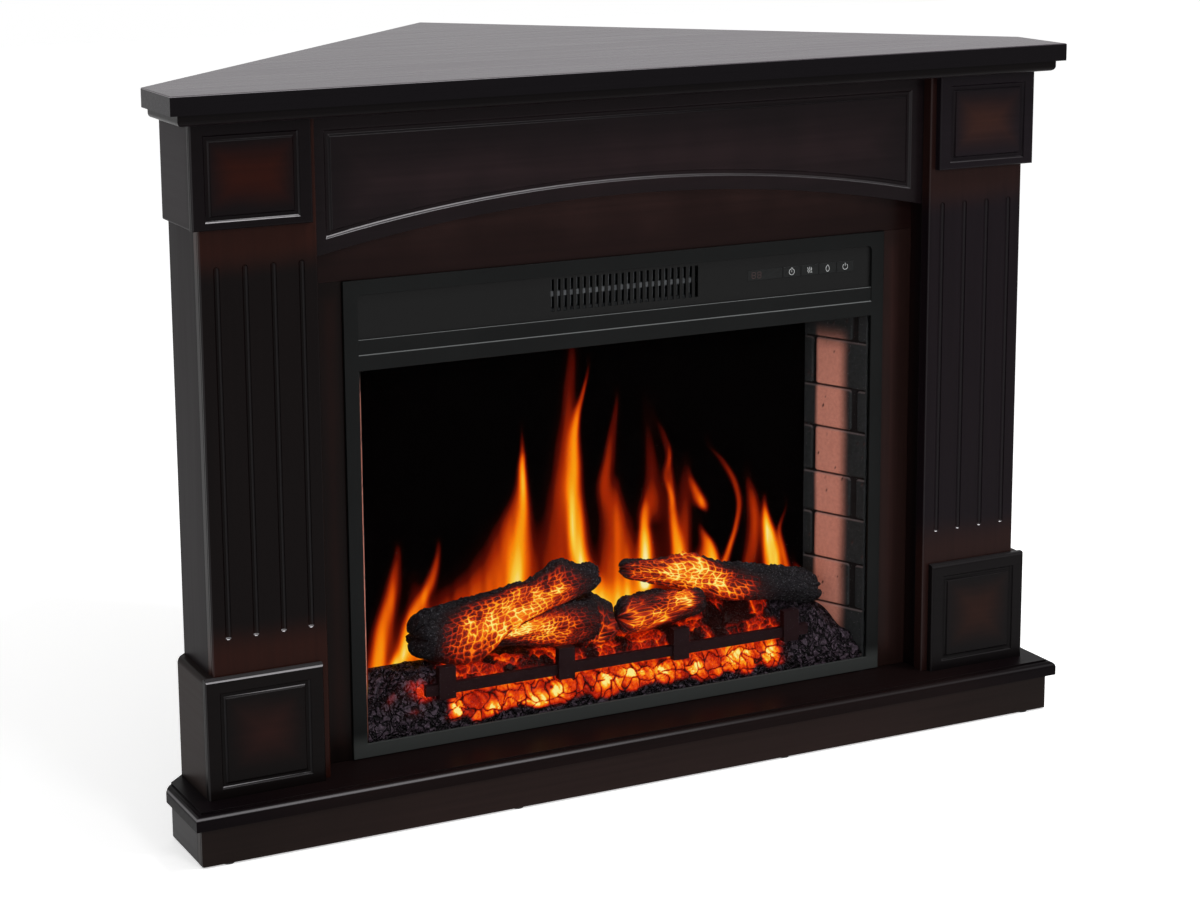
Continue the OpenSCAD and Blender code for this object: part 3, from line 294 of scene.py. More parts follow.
for name, middle, edge, grain, fade, across, more in [
        ("shelf_board", (54, 44, 53), (48, 39, 47), X, (0, 0.02), (X, Y),
         {"streaks": 0.22, "gloss": (0.26, 0.06), "highlight": (0.35, 0, 1),
          "side_shading": ((9, 6, 9), (26, 22, 27))}),
        ("under_board", (44, 36, 40), NIGHT, X, (0, 0.01), (X, Y), {"highlight": (0.06, 0, 1)}),
        ("frieze_board", (52, 37, 39), (23, 17, 19), X, (0.02, 0.16), (X, Z),
         {"highlight": (0.5, 0.3, 0.25)}),
        ("left_pilaster_front", (11, 6, 6), (38, 16, 11), Z, (0.015, 0.06), (Z, Z),
         {"highlight": (0.4, 1, 1), "ends": ("left_base_block", "left_cap_block")}),
        ("right_pilaster_front", (20, 14, 18), (36, 20, 18), Z, (0.015, 0.06), (Z, Z),
         {"highlight": (0.3, 1, 1), "ends": ("right_base_block", "right_cap_block")}),
        ("left_pilaster_side", SIDE, NIGHT, Z, NARROW_EDGE, (Y, Z), {"gloss": DULL}),
        ("right_pilaster_side", SIDE, NIGHT, Z, NARROW_EDGE, (Y, Z), {"gloss": DULL}),
        ("pilaster_returns", (24, 12, 11), NIGHT, Z, (0, 0.03), (Y, Z), {}),
        ("left_cap_block", (40, 12, 6), (12, 7, 9), X, (0.015, 0.055), (X, Z),
         {"highlight": (0.5, 0.6, 0.1)}),
        ("right_cap_block", (49, 28, 23), (21, 16, 20), X, (0.015, 0.06), (X, Z),
         {"highlight": (0.1, 0.05, 0.5)}),
        ("cap_returns", (40, 36, 38), NIGHT, Y, NARROW_EDGE, (Y, Z), {"gloss": DULL}),
        ("left_base_block", (39, 19, 16), (12, 8, 8), X, (0.02, 0.075), (X, Z),
         {"highlight": (0.45, 0.05, 0.8)}),
        ("right_base_block", (39, 21, 16), (15, 12, 13), X, (0.02, 0.065), (X, Z),
         {"highlight": (0.15, 0.02, 0.6)}),
        ("base_returns", (36, 28, 26), NIGHT, Y, NARROW_EDGE, (Y, Z), {"gloss": DULL}),
        ("plinth_board", (20, 12, 12), (10, 6, 8), X, (0.0, 0.2), (X, X),
         {"gloss": (0.36, 0.03), "highlight": (0.17, 0, 1)}),
        ("plinth_front", (37, 26, 24), (28, 20, 18), X, (0.02, 0.3), (X, X), {}),
        ("plinth_sides", SIDE, NIGHT, Y, NARROW_EDGE, (Y, Z), {}),
        ("plinth_backs", (22, 14, 13), NIGHT, X, (0, 0.02), (X, Z), {}),
        ("header_board", (71, 47, 44), (26, 13, 12), X, (0.02, 0.2), (X, Z), {}),
        ("left_stile", (36, 16, 13), (15, 8, 7), Z, (0.01, 0.05), (X, Z), {}),
        ("right_stile", (53, 30, 27), (33, 20, 18), Z, (0.01, 0.05), (X, Z), {})]:
    paint(espresso(name, middle, edge, grain, fade, across, **more), name)
    soften(name, BOARD_EDGE)

# ---------- back frame: pine battens, glue blocks and glides ----------
# Planed softwood battens inside the carcass, left bare, with the growth rings showing as bands
# along the grain. The glides under the plinth are black nylon discs.
for name, grain in [("corner_post", Z), ("left_top_rail", X), ("right_top_rail", X),
                    ("plinth_bearers", Y), ("glue_blocks", Z)]:
    pine = Finish(name + "_pine", Roughness=0.62, Specular_IOR_Level=0.3)
    rings = pine.noise(pine.grained(grain, 55.0, 2.5), 1.0, 5.0, 0.6, 1.2)
    pine.set(Base_Color=pine.ramp(rings, (0.32, tint(150, 112, 72)), (0.55, tint(196, 158, 108)),
                                  (0.7, tint(170, 128, 82))))
    paint(pine.bump(rings, 0.0003, 0.4), name)

nylon = Finish("black_nylon", Roughness=0.55)
speck = nylon.noise(nylon.place(), 900.0, 2.0)
nylon.set(Base_Color=nylon.mottle(speck, (14, 14, 15), (26, 26, 27)))
paint(nylon.bump(speck, 0.0001, 0.3), "floor_glides")

# ---------- firebox: flange and casing ----------
# Folded steel sheet with a matte black powder coat, whose fine orange peel breaks up the light.
# The flange round the window is a greener black than the casing, with a pale painted highlight
# on the upward faces of its folds over the window, and paler on its lower rail.
def powder_coat(name, low, high):
    """Powder coat that wanders between two tints, under an orange peel of 0.1 mm."""
    coat = Finish(name + "_powder_coat", Roughness=0.5, Specular_IOR_Level=0.08)
    peel = coat.noise(coat.place(), 700.0, 3.0, 0.6)
    worn = coat.span(coat.noise(coat.place(), 6.0, 4.0), 0.35, 0.65)
    coat.set(Base_Color=coat.mix(worn, tint(*low), tint(*high)),
             Roughness=coat.span(peel, 0.3, 0.7, 0.42, 0.56))
    return coat.bump(peel, 0.0001, 0.35)


FOLDS_Z, FOLDS_REACH, RAIL_TOP = 0.57, 0.04, (0.079, 0.1)
flange = powder_coat("insert_frame", (12, 13, 13), (16, 17, 17))
flange_z = flange.axes(flange.node("TexCoord", out="Object"))[Z]
over_window = flange.math("COMPARE", flange_z, FOLDS_Z)
over_window.node.inputs[2].default_value = FOLDS_REACH
# painted highlight: a pale grey on the upward faces of the folds over the window
fold = flange.math("MULTIPLY", flange.span(flange.normal()[Z], 0.25, 0.6, 0, 0.42), over_window)
fold_highlight = flange.mix(fold, flange.shader.inputs["Base Color"].links[0].from_socket,
                  tint(150, 153, 153))
rail = flange.span(flange_z, *RAIL_TOP, 1, 0)
flange.set(Base_Color=flange.mix(rail, fold_highlight, tint(54, 56, 55)))
paint(flange, "insert_frame")
soften("insert_frame", SHEET_EDGE)
paint(powder_coat("casing", (22, 23, 24), (30, 31, 32)), "casing_floor", "casing_roof",
      "left_casing", "right_casing", "casing_back", "heater_shelf")

screw = Finish("zinc_screws", Metallic=1.0, Roughness=0.3)
turned = screw.noise(screw.place((900, 40, 900)), 1.0, 2.0)
screw.set(Base_Color=screw.mottle(turned, (150, 152, 156), (190, 192, 194)))
paint(screw.bump(turned, 0.00005, 0.3), "casing_screws")

rubber = Finish("gland_rubber", Roughness=0.7, Specular_IOR_Level=0.3)
skin = rubber.noise(rubber.place(), 500.0, 3.0)
rubber.set(Base_Color=rubber.mottle(skin, (18, 18, 18), (30, 30, 31)))
paint(rubber.bump(skin, 0.0001, 0.3), "cord_gland")

# ---------- control fascia ----------
# One moulding in black plastic with a spark-eroded texture, clipped behind the flange. It holds
# the air slots and the openings for the keys, and its lower lip shines as a thin pale line.
plastic = Finish("fascia_plastic", Roughness=0.4, Specular_IOR_Level=0.1)
spark = plastic.noise(plastic.place(), 1100.0, 3.0, 0.65)
lip_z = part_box("control_fascia")[0].z
lip = plastic.span(plastic.axes(plastic.place(centre=(0, 0, lip_z)))[Z], 0.0007, 0.0012, 0.45, 0)
black = plastic.mottle(spark, (14, 14, 14), (20, 20, 20))
plastic.set(Base_Color=plastic.mix(lip, black, tint(150, 152, 152)))
paint(plastic.bump(spark, 0.00008, 0.3), "control_fascia")
soften("control_fascia", MOULDED_EDGE)

# ---------- window ----------
# A pane of clear tempered glass behind the flange. Its faces are so clean that only a trace of
# its tint shows.
glass = Finish("clear_glass", Roughness=0.02, Specular_IOR_Level=0.04, Alpha=0.04)
haze = glass.noise(glass.place(), 9.0, 3.0)
glass.set(Base_Color=glass.mottle(haze, (3, 4, 4), (6, 8, 7)))
glass.material.surface_render_method = "BLENDED"
paint(glass, "glass_pane")

# ---------- brick walls of the hearth ----------
# Each side wall is one dark grey moulding with raised bricks, whose courses have their upright
# joint by turns near the window and near the flame screen. The fire's light washes a soft band of
# them salmon.
def noise_field(u, v, seed):
    """Smooth random numbers from 0 to 1: one is thrown for each unit square's corner, and
    between corners they are blended with an eased weight."""
    cells_u, cells_v = int(u.max()) + 2, int(v.max()) + 2
    corner = np.random.default_rng(seed).random((cells_u, cells_v))
    i, j = u.astype(int), v.astype(int)
    a, b = u - i, v - j
    a, b = a * a * (3 - 2 * a), b * b * (3 - 2 * b)
    return ((corner[i, j] * (1 - a) + corner[i + 1, j] * a) * (1 - b)
            + (corner[i, j + 1] * (1 - a) + corner[i + 1, j + 1] * a) * b)


def build(name, points, faces, values, sharp=None):
    """Mesh from points in mm and arrays of faces, with a number at each point for each name in
    values. It is turned over if the volume under its faces comes out negative."""
    points = points.reshape(-1, 3) / 1000
    volume = sum((points[f[:, 0]] * np.cross(points[f[:, k]], points[f[:, k + 1]])).sum()
                 for f in faces for k in range(1, f.shape[1] - 1))
    if volume < 0:
        faces = [f[:, ::-1] for f in faces]
    mesh = bpy.data.meshes.new(name)
    mesh.from_pydata(points.tolist(), [], [row for f in faces for row in f.tolist()])
    for key, value in values.items():
        stored = mesh.attributes.new(key, "FLOAT", "POINT").data
        stored.foreach_set("value", value.astype(np.float32).ravel())
    mesh.shade_smooth()
    if sharp:
        mesh.set_sharp_from_angle(angle=radians(sharp))
    made = bpy.data.objects.new(name, mesh)
    scene.collection.objects.link(made)
    return made


def block(name, grid, foot, values):
    """Solid under a grid of points: foot turns the points of the grid's border into those of the
    flat face that closes it, and straight walls join the two."""
    rows, cols = grid.shape[:2]
    index = np.arange(rows * cols).reshape(rows, cols)
    rim = np.concatenate([index[0], index[1:, -1], index[-1, -2::-1], index[-2:0:-1, 0]])
    under = foot(grid.reshape(-1, 3)[rim])
    low = rows * cols + np.arange(len(rim))
    top = np.stack([index[:-1, :-1], index[:-1, 1:], index[1:, 1:], index[1:, :-1]], -1)
    sides = np.stack([np.roll(rim, -1), rim, low, np.roll(low, -1)], -1)
    values = {key: np.concatenate([value.ravel(), value.ravel()[rim] * 0])
              for key, value in values.items()}
    points = np.concatenate([grid.reshape(-1, 3), under])
    return build(name, points, [top.reshape(-1, 4), sides, low[None, ::-1]], values)


def eased(t):
    """0 below 0, 1 above 1, and t squared times (3 - 2 t) between."""
    t = np.clip(t, 0, 1)
    return t * t * (3 - 2 * t)


wall_low, wall_high = (np.array(corner) * 1000 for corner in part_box("right_brick_wall"))
WALL_FRONT, WALL_REAR = np.array([337.6, -252.2]), np.array([301.0, -166.7])
WALL_LENGTH, WALL_THICKNESS = np.hypot(*(WALL_REAR - WALL_FRONT)), 4.9
BRICK_RISE, BRICK_CORNER, BED_JOINT = 2.6, 4.0, 1.6
# the heights where courses meet, and the upright joints as start and end from the front, by turns
COURSES = [71, 87, 144, 202, 261, 314, 373, 427, 488, 540]
JOINTS = [(13.5, 21.5), (77.0, 80.0)]
PITTED_LENGTH, PITTED_FOOT, PITTED_HEIGHT = 95, 70, 460
PITS = np.random.default_rng(7).random((60, 4))


def brick_face(w, z):
    """How far the wall's face stands from the bottom of its joints, in mm, where w runs from the
    front and z up, and how dark its pits are. Over each brick it rises smoothly from 0 at the edge
    to its full rise within 2 mm, round its corners too, less a few small slanting pits."""
    rise, pits = np.zeros_like(w), np.zeros_like(w)
    for course, (foot_z, top_z) in enumerate(zip(COURSES, COURSES[1:])):
        start, end = JOINTS[course % 2]
        top_z -= BED_JOINT
        for w0, w1 in ((-6, start), (end, WALL_LENGTH + 6)):
            across = np.abs(w - (w0 + w1) / 2) - (w1 - w0) / 2 + BRICK_CORNER
            upward = np.abs(z - (foot_z + top_z) / 2) - (top_z - foot_z) / 2 + BRICK_CORNER
            outside = np.hypot(np.clip(across, 0, None), np.clip(upward, 0, None)) - BRICK_CORNER
            rise = np.maximum(rise, BRICK_RISE * eased(-outside / 2.0))
    for place, height, size, depth in PITS:
        above = z - PITTED_FOOT - PITTED_HEIGHT * height
        beside = w - PITTED_LENGTH * place + 0.3 * above
        pits += depth * np.exp(-(beside ** 2 + 0.3 * above ** 2) / (0.6 + 0.7 * size) ** 2)
    rough = 0.35 * (noise_field(w / 9 + 1, z / 14, 8) - 0.5)
    return rise + rough - 1.3 * pits, np.clip(1.6 * pits, 0, 1)


w, z = np.meshgrid(np.linspace(0, WALL_LENGTH, 112), np.linspace(wall_low[2], wall_high[2], 540))
rise, pits = brick_face(w, z)
to_rim = np.minimum(np.minimum(w, WALL_LENGTH - w), np.minimum(z - wall_low[2], wall_high[2] - z))
rise = BRICK_RISE + (rise - BRICK_RISE) * eased(to_rim / 1.5)
# the salmon wash begins and ends that far from the front, wandering a little, and fades at the top
WASH_START, WASH_END, WASH_TOP = 24, 78, 508
wander = 2.5 * (noise_field(w / 40, z / 38, 9) - 0.5)
wash = eased((w + wander - WASH_START) / 19) * eased((WASH_END - w - 0.4 * wander) / 7)
wash = wash * eased((WASH_TOP - z) / 40) * (0.7 + 0.3 * eased(rise / 2.0))
# crest: where the face turns up over a brick's top edge, which gets a painted highlight
crest = np.clip(-np.gradient(rise, axis=0) / (z[1, 0] - z[0, 0]) / 1.5, 0, 1)

brick = Finish("cast_brick", Roughness=0.72, Specular_IOR_Level=0.12)
grit = brick.noise(brick.place(), 260.0, 5.0, 0.6)
washed = brick.stored("washed")
grey = brick.mottle(grit, (37, 38, 39), (50, 51, 52))
salmon = brick.mottle(grit, (204, 131, 113), (220, 146, 126))
face = brick.mix(washed, grey, salmon)
# painted highlight: a pale line along the top edge of each brick, where its face turns up to the light
top_edge_highlight = brick.math("MULTIPLY", brick.stored("crest"), 0.36)
face = brick.mix(top_edge_highlight, face, tint(170, 150, 148))
face = brick.mix(brick.span(brick.stored("raised"), 0.02, 0.3, 0.9, 0.0), face, tint(20, 15, 15))
face = brick.mix(brick.stored("pits"), face, tint(60, 34, 30))
brick.set(Base_Color=face, Emission_Color=face,
          Emission_Strength=brick.math("MULTIPLY", washed, 0.14))
brick.bump(grit, 0.0003, 0.4)

along = (WALL_REAR - WALL_FRONT) / WALL_LENGTH
outward = np.array([along[1], -along[0]])
for side, name in ((1, "right"), (-1, "left")):
    plan = WALL_FRONT + w[..., None] * along + (BRICK_RISE - rise)[..., None] * outward
    grid = np.stack([side * plan[..., 0], plan[..., 1], z], -1)
    wall = block(name + "_brick_wall_moulding", grid,
                 lambda rim: rim + (side * WALL_THICKNESS, 0, 0),
                 {"washed": wash, "raised": rise / BRICK_RISE, "crest": crest, "pits": pits})
    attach(wall, "root")
    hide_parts(name + "_brick_wall")
    wall.data.materials.append(brick.material)


# ---------- flame screen ----------
# A frosted plastic sheet behind the logs. The lamps and the turning foils throw the flames on
# to it from behind, so the picture glows in the sheet itself.
def through(t, knots, values):
    """Smooth curve over t through values at knots: a cubic between each two of them, whose slopes
    come from the values on both sides. It is flat beyond the ends."""
    slope = np.gradient(values, knots)
    at = np.clip(np.searchsorted(knots, t) - 1, 0, len(knots) - 2)
    step = knots[at + 1] - knots[at]
    p = np.clip((t - knots[at]) / step, 0, 1)
    return ((1 + 2 * p) * (1 - p) ** 2 * values[at] + p * (1 - p) ** 2 * step * slope[at]
            + p * p * (3 - 2 * p) * values[at + 1] - p * p * (1 - p) * step * slope[at + 1])


# each tongue from its foot up: height, place across, soft width to the left and right, and heat
TONGUES = [
    [(78, -304, 8, 10, .95), (136, -290, 9, 12, .82), (189, -281, 9, 11, .62), (237, -267, 8, 8, .5),
     (280, -258, 4, 4, .2)],
    [(128, -267, 8, 10, .95), (161, -252, 8, 9, .85), (197, -241, 8, 9, .62), (236, -217, 7, 6, .52),
     (277, -205, 3, 3, .2)],
    [(130, -235, 22, 20, .4), (197, -233, 14, 14, .32), (240, -238, 8, 7, .1)],
    [(150, -140, 75, 60, .55), (207, -125, 70, 41, .6), (240, -113, 42, 30, .58),
     (295, -102, 20, 16, .5), (333, -94, 9, 7, .5), (370, -94, 4, 4, .5), (408, -97, 2, 2, .1)],
    [(180, -107, 13, 14, .92), (215, -104, 11, 12, .88), (266, -98, 8, 9, .78),
     (310, -94, 5, 6, .66), (366, -94, 3, 3, .5)],
    [(160, -45, 22, 44, .45), (214, -40, 24, 30, .44), (250, -42, 22, 24, .42),
     (312, -40, 16, 18, .42), (381, -35, 12, 11, .38), (439, -30, 8, 7, .28), (505, -29, 6, 6, .1)],
    [(145, 18, 18, 20, 1.0), (170, 9, 16, 18, 1.06), (200, -5, 12, 15, 1.12),
     (237, -18, 8, 11, 1.12), (291, -25, 7, 10, 1.05), (344, -28, 7, 8, .95), (379, -26, 7, 6, .8),
     (423, -18, 5, 3, .6), (447, -11, 3, 2, .42), (480, -4, 2, 2, .1)],
    [(160, 42, 22, 22, .6), (213, 33, 20, 22, .5), (285, 24, 12, 15, .42), (331, 16, 8, 10, .42),
     (366, 21, 6, 7, .34), (400, 28, 4, 5, .24), (435, 34, 3, 3, .1)],
    [(160, 48, 26, 22, .36), (207, 47, 22, 18, .26), (245, 46, 18, 15, .22), (278, 38, 14, 13, .2),
     (325, 33, 8, 6, .12)],
    [(190, 72, 9, 9, 1.15), (225, 72, 8, 9, 1.12), (262, 73, 6, 7, 1.0), (288, 73, 4, 5, .5),
     (303, 73, 2, 3, .1)],
    [(280, 78, 12, 14, .3), (330, 82, 9, 10, .24), (384, 76, 5, 7, .12), (430, 73, 4, 4, .03)],
    [(180, 100, 28, 28, .22), (225, 102, 24, 26, .16), (280, 104, 16, 20, .13),
     (320, 108, 10, 12, .12), (352, 107, 5, 6, .06)],
    [(190, 122, 8, 8, 1.05), (222, 120, 7, 7, 1.02), (269, 115, 5, 5, .66), (312, 110, 4, 4, .32),
     (358, 106, 2, 2, .1)],
    [(190, 129, 9, 9, .45), (225, 128, 9, 9, .36), (288, 131, 8, 8, .22), (342, 128, 5, 5, .08)],
    [(274, 161, 4, 3, .1), (282, 157, 7, 5, .52), (304, 146, 6, 5, .56), (332, 136, 3, 3, .1)],
    [(294, 112, 3, 3, .25), (328, 102, 4, 3, .27), (355, 106, 5, 3, .25), (381, 99, 6, 3, .17),
     (414, 83, 5, 3, .04)],
    [(180, 180, 5, 6, .85), (204, 185, 4, 5, .72), (223, 192, 4, 4, .6), (250, 202, 3, 4, .5),
     (279, 207, 3, 4, .43), (308, 198, 4, 4, .36), (338, 181, 4, 3, .26), (364, 160, 3, 3, .05)],
    [(160, 220, 10, 12, .25), (192, 219, 9, 12, .3), (222, 226, 9, 11, .36), (254, 229, 8, 9, .4),
     (284, 225, 6, 7, .36), (320, 216, 4, 5, .05)],
    [(180, 172, 22, 8, .85), (211, 170, 18, 7, .86), (234, 164, 9, 5, .7), (260, 152, 4, 3, .1)],
    [(155, 258, 12, 12, 1.2), (183, 257, 10, 11, 1.2), (210, 254, 9, 10, 1.35), (232, 250, 7, 8, 1.3),
     (252, 246, 5, 5, 1.0), (276, 243, 3, 3, .3)],
    [(155, 279, 6, 5, .6), (182, 277, 4, 4, .56), (212, 270, 3, 4, .46), (238, 265, 3, 3, .36),
     (268, 274, 2, 2, .1)],
    [(150, 302, 6, 6, .5), (176, 296, 6, 5, .42), (193, 286, 3, 3, .1)]]
# how far a tongue fades below its foot and over its tip, and the heat that shows whitest
FOOT_FADE, TIP_FADE, WHITE_HEAT = 14, 16, 1.2
SHEET_LEFT = -400

low, high = (np.array(corner) * 1000 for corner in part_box("flame_screen"))
across, up = np.meshgrid(np.linspace(low[0], high[0], 343), np.linspace(low[2], high[2], 229))
sway = 5 * (noise_field((across - SHEET_LEFT) / 60, up / 45, 3) - 0.5)
# a tongue's heat falls off to both sides in a bell; each tongue leaves a part of the sheet dark,
# and these parts are multiplied
dark = np.ones_like(across)
for tongue in TONGUES:
    height, place, left, right, heat = np.array([tongue[0], *tongue, tongue[-1]], float).T
    height[0] -= FOOT_FADE
    height[-1] += TIP_FADE
    heat[0] = heat[-1] = 0
    off = across + sway - through(up, height, place)
    width = np.where(off < 0, through(up, height, left), through(up, height, right))
    bell = np.exp(-np.abs(off / (1.2 * np.clip(width, 1.5, None))) ** 2.2)
    dark *= 1 - np.clip(through(up, height, heat) * bell / WHITE_HEAT, 0, 1)
streak = noise_field((across - SHEET_LEFT) / 7, up / 70 + 1, 5)
heat = np.clip(WHITE_HEAT * (1 - dark) * (0.82 + 0.34 * streak), 0, None)
screen = block("flame_screen_sheet", np.stack([across, np.full_like(across, low[1]), up], -1),
               lambda rim: np.column_stack([rim[:, 0], 0 * rim[:, 1] + high[1], rim[:, 2]]),
               {"warmth": heat})
flame = Finish("flame_picture", Roughness=0.6, Specular_IOR_Level=0.0)
fire_glow = [(0.0, tint(0, 0, 0)), (0.07, tint(14, 1, 0)), (0.2, tint(84, 12, 3)),
             (0.34, tint(164, 40, 4)), (0.47, tint(222, 82, 5)), (0.6, tint(252, 126, 8)),
             (0.74, tint(255, 166, 20)), (0.88, tint(255, 210, 70)), (1.0, tint(255, 242, 170))]
picture = flame.math("DIVIDE", flame.stored("warmth"), WHITE_HEAT)
unlit_sheet = flame.mottle(flame.noise(flame.place(), 40.0), (2, 1, 1), (5, 3, 3))
flame.set(Base_Color=unlit_sheet, Emission_Color=flame.ramp(picture, *fire_glow),
          Emission_Strength=1.0)
screen.data.materials.append(flame.material)
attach(screen, "root")
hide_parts("flame_screen")


# ---------- logs ----------
# Resin castings of charred logs, seated on the ember bed, with a heap of coals between the middle
# two. Lamps inside light the thin resin in the cracks of the bark; the ends and the ridges on top
# are sprayed charcoal black.
def cells(u, v, seed, wrap=None, square=False):
    """Pattern of cells: one seed is thrown at random in each unit square. Gives how much nearer
    the nearest seed is than the next one, which is 0 on a border, the distance to the nearest,
    and a random number of its own for each cell. Distances are straight, or for square cells the
    longer of the two steps along u and v. After wrap squares in v the pattern begins again."""
    lattice = np.random.default_rng(seed).random((int(u.max()) + 4, int(v.max()) + 4, 3))
    i, j = np.floor(u).astype(int), np.floor(v).astype(int)
    first = np.full(u.shape, 9.0)
    second, own = first.copy(), np.zeros(u.shape)
    for a in (-1, 0, 1):
        for b in (-1, 0, 1):
            column = (j + b) % wrap if wrap else j + b + 1
            seeds = lattice[i + a + 1, column]
            away_u = np.abs(i + a + 0.12 + 0.76 * seeds[..., 0] - u)
            away_v = np.abs(j + b + 0.12 + 0.76 * seeds[..., 1] - v)
            away = np.maximum(away_u, away_v) if square else np.hypot(away_u, away_v)
            nearer = away < first
            second = np.where(nearer, first, np.minimum(second, away))
            own = np.where(nearer, seeds[..., 2], own)
            first = np.where(nearer, away, first)
    return second - first, first, own


def tube(name, rings, values):
    """Closed tube: each row of points is a ring, and the first and last rows are single points."""
    rows, cols = rings.shape[:2]
    points = np.concatenate([rings[:1, 0], rings[1:-1].reshape(-1, 3), rings[-1:, 0]])
    index = 1 + np.arange((rows - 2) * cols).reshape(rows - 2, cols)
    beside = np.roll(index, -1, 1)
    body = np.stack([index[:-1], beside[:-1], beside[1:], index[1:]], -1).reshape(-1, 4)
    start = np.stack([beside[0], index[0], np.zeros(cols, int)], -1)
    end = np.stack([index[-1], beside[-1], np.full(cols, len(points) - 1)], -1)
    values = {key: np.concatenate([v[:1, 0], v[1:-1].ravel(), v[-1:, 0]])
              for key, v in values.items()}
    return build(name, points, [body, start, end], values)


def bump_at(x, middle, reach):
    """Bell-shaped weight round middle, which is 1 there and 0.37 at reach from it."""
    return np.exp(-((x - middle) / reach) ** 2)


# all in mm but the last, the limit of a log's heat
RING_STEP, BARK_DEPTH, PLATE_STEP, END_BREAK, MOST_HEAT = 0.8, 1.7, 1.1, 13, 1.35
RING_POINTS = 200


def log_surface(name, y, floor_z, ends, knot, belly, hot, seed, char,
                cell=6.6, stretch=1.5, square=True):
    """Log along x in mm. Its radius goes evenly from one end's to the other's, times slow waves
    round and along it, plus a knot on top, a belly below and plates of bark between cracks, and
    closes at the ends. It is cut flat at floor_z, where it is seated. ends gives x, height and
    radius of both ends; knot and belly give x, height and reach; hot gives x, reach, angle,
    angle's reach and heat of each warm place; char gives the two ends' charred lengths. The plates
    are cell wide and stretch times as long, cut square or round, and the cracks between them glow
    most. The ridge on top is charred too, where no warm place reaches it."""
    (x0, z0, r0), (x1, z1, r1) = ends
    length = x1 - x0
    s = np.linspace(0, 1, int(length / RING_STEP))[:, None]
    t = 0.55 * s + 0.45 * (0.5 - 0.5 * np.cos(pi * s))
    a = np.linspace(0, 2 * pi, RING_POINTS, endpoint=False)[None, :]
    t, a = np.broadcast_arrays(t, a)
    a = a + 0.45 * np.sin(a)
    along = x0 + t * length
    # the main form: tapering wood with waves, knot and belly
    radius = r0 + t * (r1 - r0)
    wave = 1 + 0.07 * np.sin(3 * a + seed + radians(300) * t) + 0.04 * np.sin(5 * a - radians(500) * t)
    shape = knot[1] * bump_at(along, knot[0], knot[2]) * np.clip(np.sin(a), 0, None)
    shape += belly[1] * bump_at(along, belly[0], belly[2]) * np.clip(-np.sin(a), 0, None)
    # the bark: plates laid round and down the log, which drift from row to row
    wrap = int(2 * pi * max(r0, r1) / cell)
    drift = 0.5 * np.sin(3 * a + 9 * t) + 0.4 * (noise_field(along / 14 + 40, a * 1.6, seed) - 0.5)
    round_it = a * wrap / (2 * pi)
    round_it += 0.6 * (noise_field(along / 15 + 40, a * 2, seed + 3) - 0.5) * np.sin(a / 2) ** 2
    down_it = t * length / (stretch * cell) + drift
    border, _, own = cells(down_it + 1, round_it, seed, wrap, square)
    fine, _, speck = cells(1.9 * down_it + 2, 2 * round_it, seed + 8, 2 * wrap)
    plate = np.tanh(border * 5)
    crust = noise_field(along / 6 + 60, a * 5, seed + 4)
    crust = crust + 0.6 * noise_field(along / 2.8 + 130, a * 9, seed + 5)
    ridge = bump_at(a, radians(80), radians(34))
    rough = BARK_DEPTH * (plate - 1) + PLATE_STEP * (own - 0.5) + (0.5 + 3.4 * ridge) * (crust - 0.8)
    # the ends: rounded off and broken unevenly
    close = np.clip(1 - np.abs(2 * t - 1) ** 22, 0, 1) ** 0.45
    broken = noise_field((np.sin(a) + 1) * 4, (np.cos(a) + 1) * 4, seed)
    ragged = END_BREAK * (broken - 0.5) * np.abs(2 * t - 1) ** 8
    r = close * (radius * wave + shape + rough)
    x = along + ragged * np.sign(t - 0.5)
    z = np.clip(z0 + t * (z1 - z0) + r * np.sin(a), floor_z, None)
    # the heat: warm places add up to a limit, and show in the cracks and, where hottest, on faces
    warm = np.zeros_like(r)
    for place, reach, angle, spread, heat in hot:
        turned = (a - radians(angle) + pi) % (2 * pi) - pi
        warm += heat * bump_at(x, place, reach) * bump_at(turned, 0, radians(spread))
    warm *= 0.7 + 0.6 * noise_field(t * length / 13, a * 2.4, seed + 2)
    warm /= (1 + (warm / MOST_HEAT) ** 4) ** 0.25
    gape = noise_field(along / 15 + 80, a * 2.4, seed + 6)
    crack = np.exp(-(border / (0.1 + 0.14 * gape)) ** 2) * (0.35 + 0.75 * gape)
    crack = np.maximum(crack, 0.5 * gape * np.exp(-(fine / 0.17) ** 2))
    strand = 0.6 + 0.8 * noise_field(along / 13 + 50, a * 8, seed + 9)
    face = 0.1 + 0.12 * own + 0.08 * speck + 0.52 * strand * np.clip(warm - 0.7, 0, 1)
    charred = np.clip((x0 + char[0] - x) / 25 + 0.5, 0, 1)
    charred = charred + np.clip((x - x1 + char[1]) / 50 + 0.5, 0, 1)
    on_top = 1.3 * bump_at(a, radians(84), radians(38)) * (1 - np.clip(warm, 0, 1))
    charred = np.clip(charred + on_top, 0, 1)
    glow = warm * (face + 0.85 * crack) * (1 - 0.9 * charred)
    return tube(name, np.stack([x, y + r * np.cos(a), z], -1),
                {"warmth": glow, "char": charred, "crack": crack})


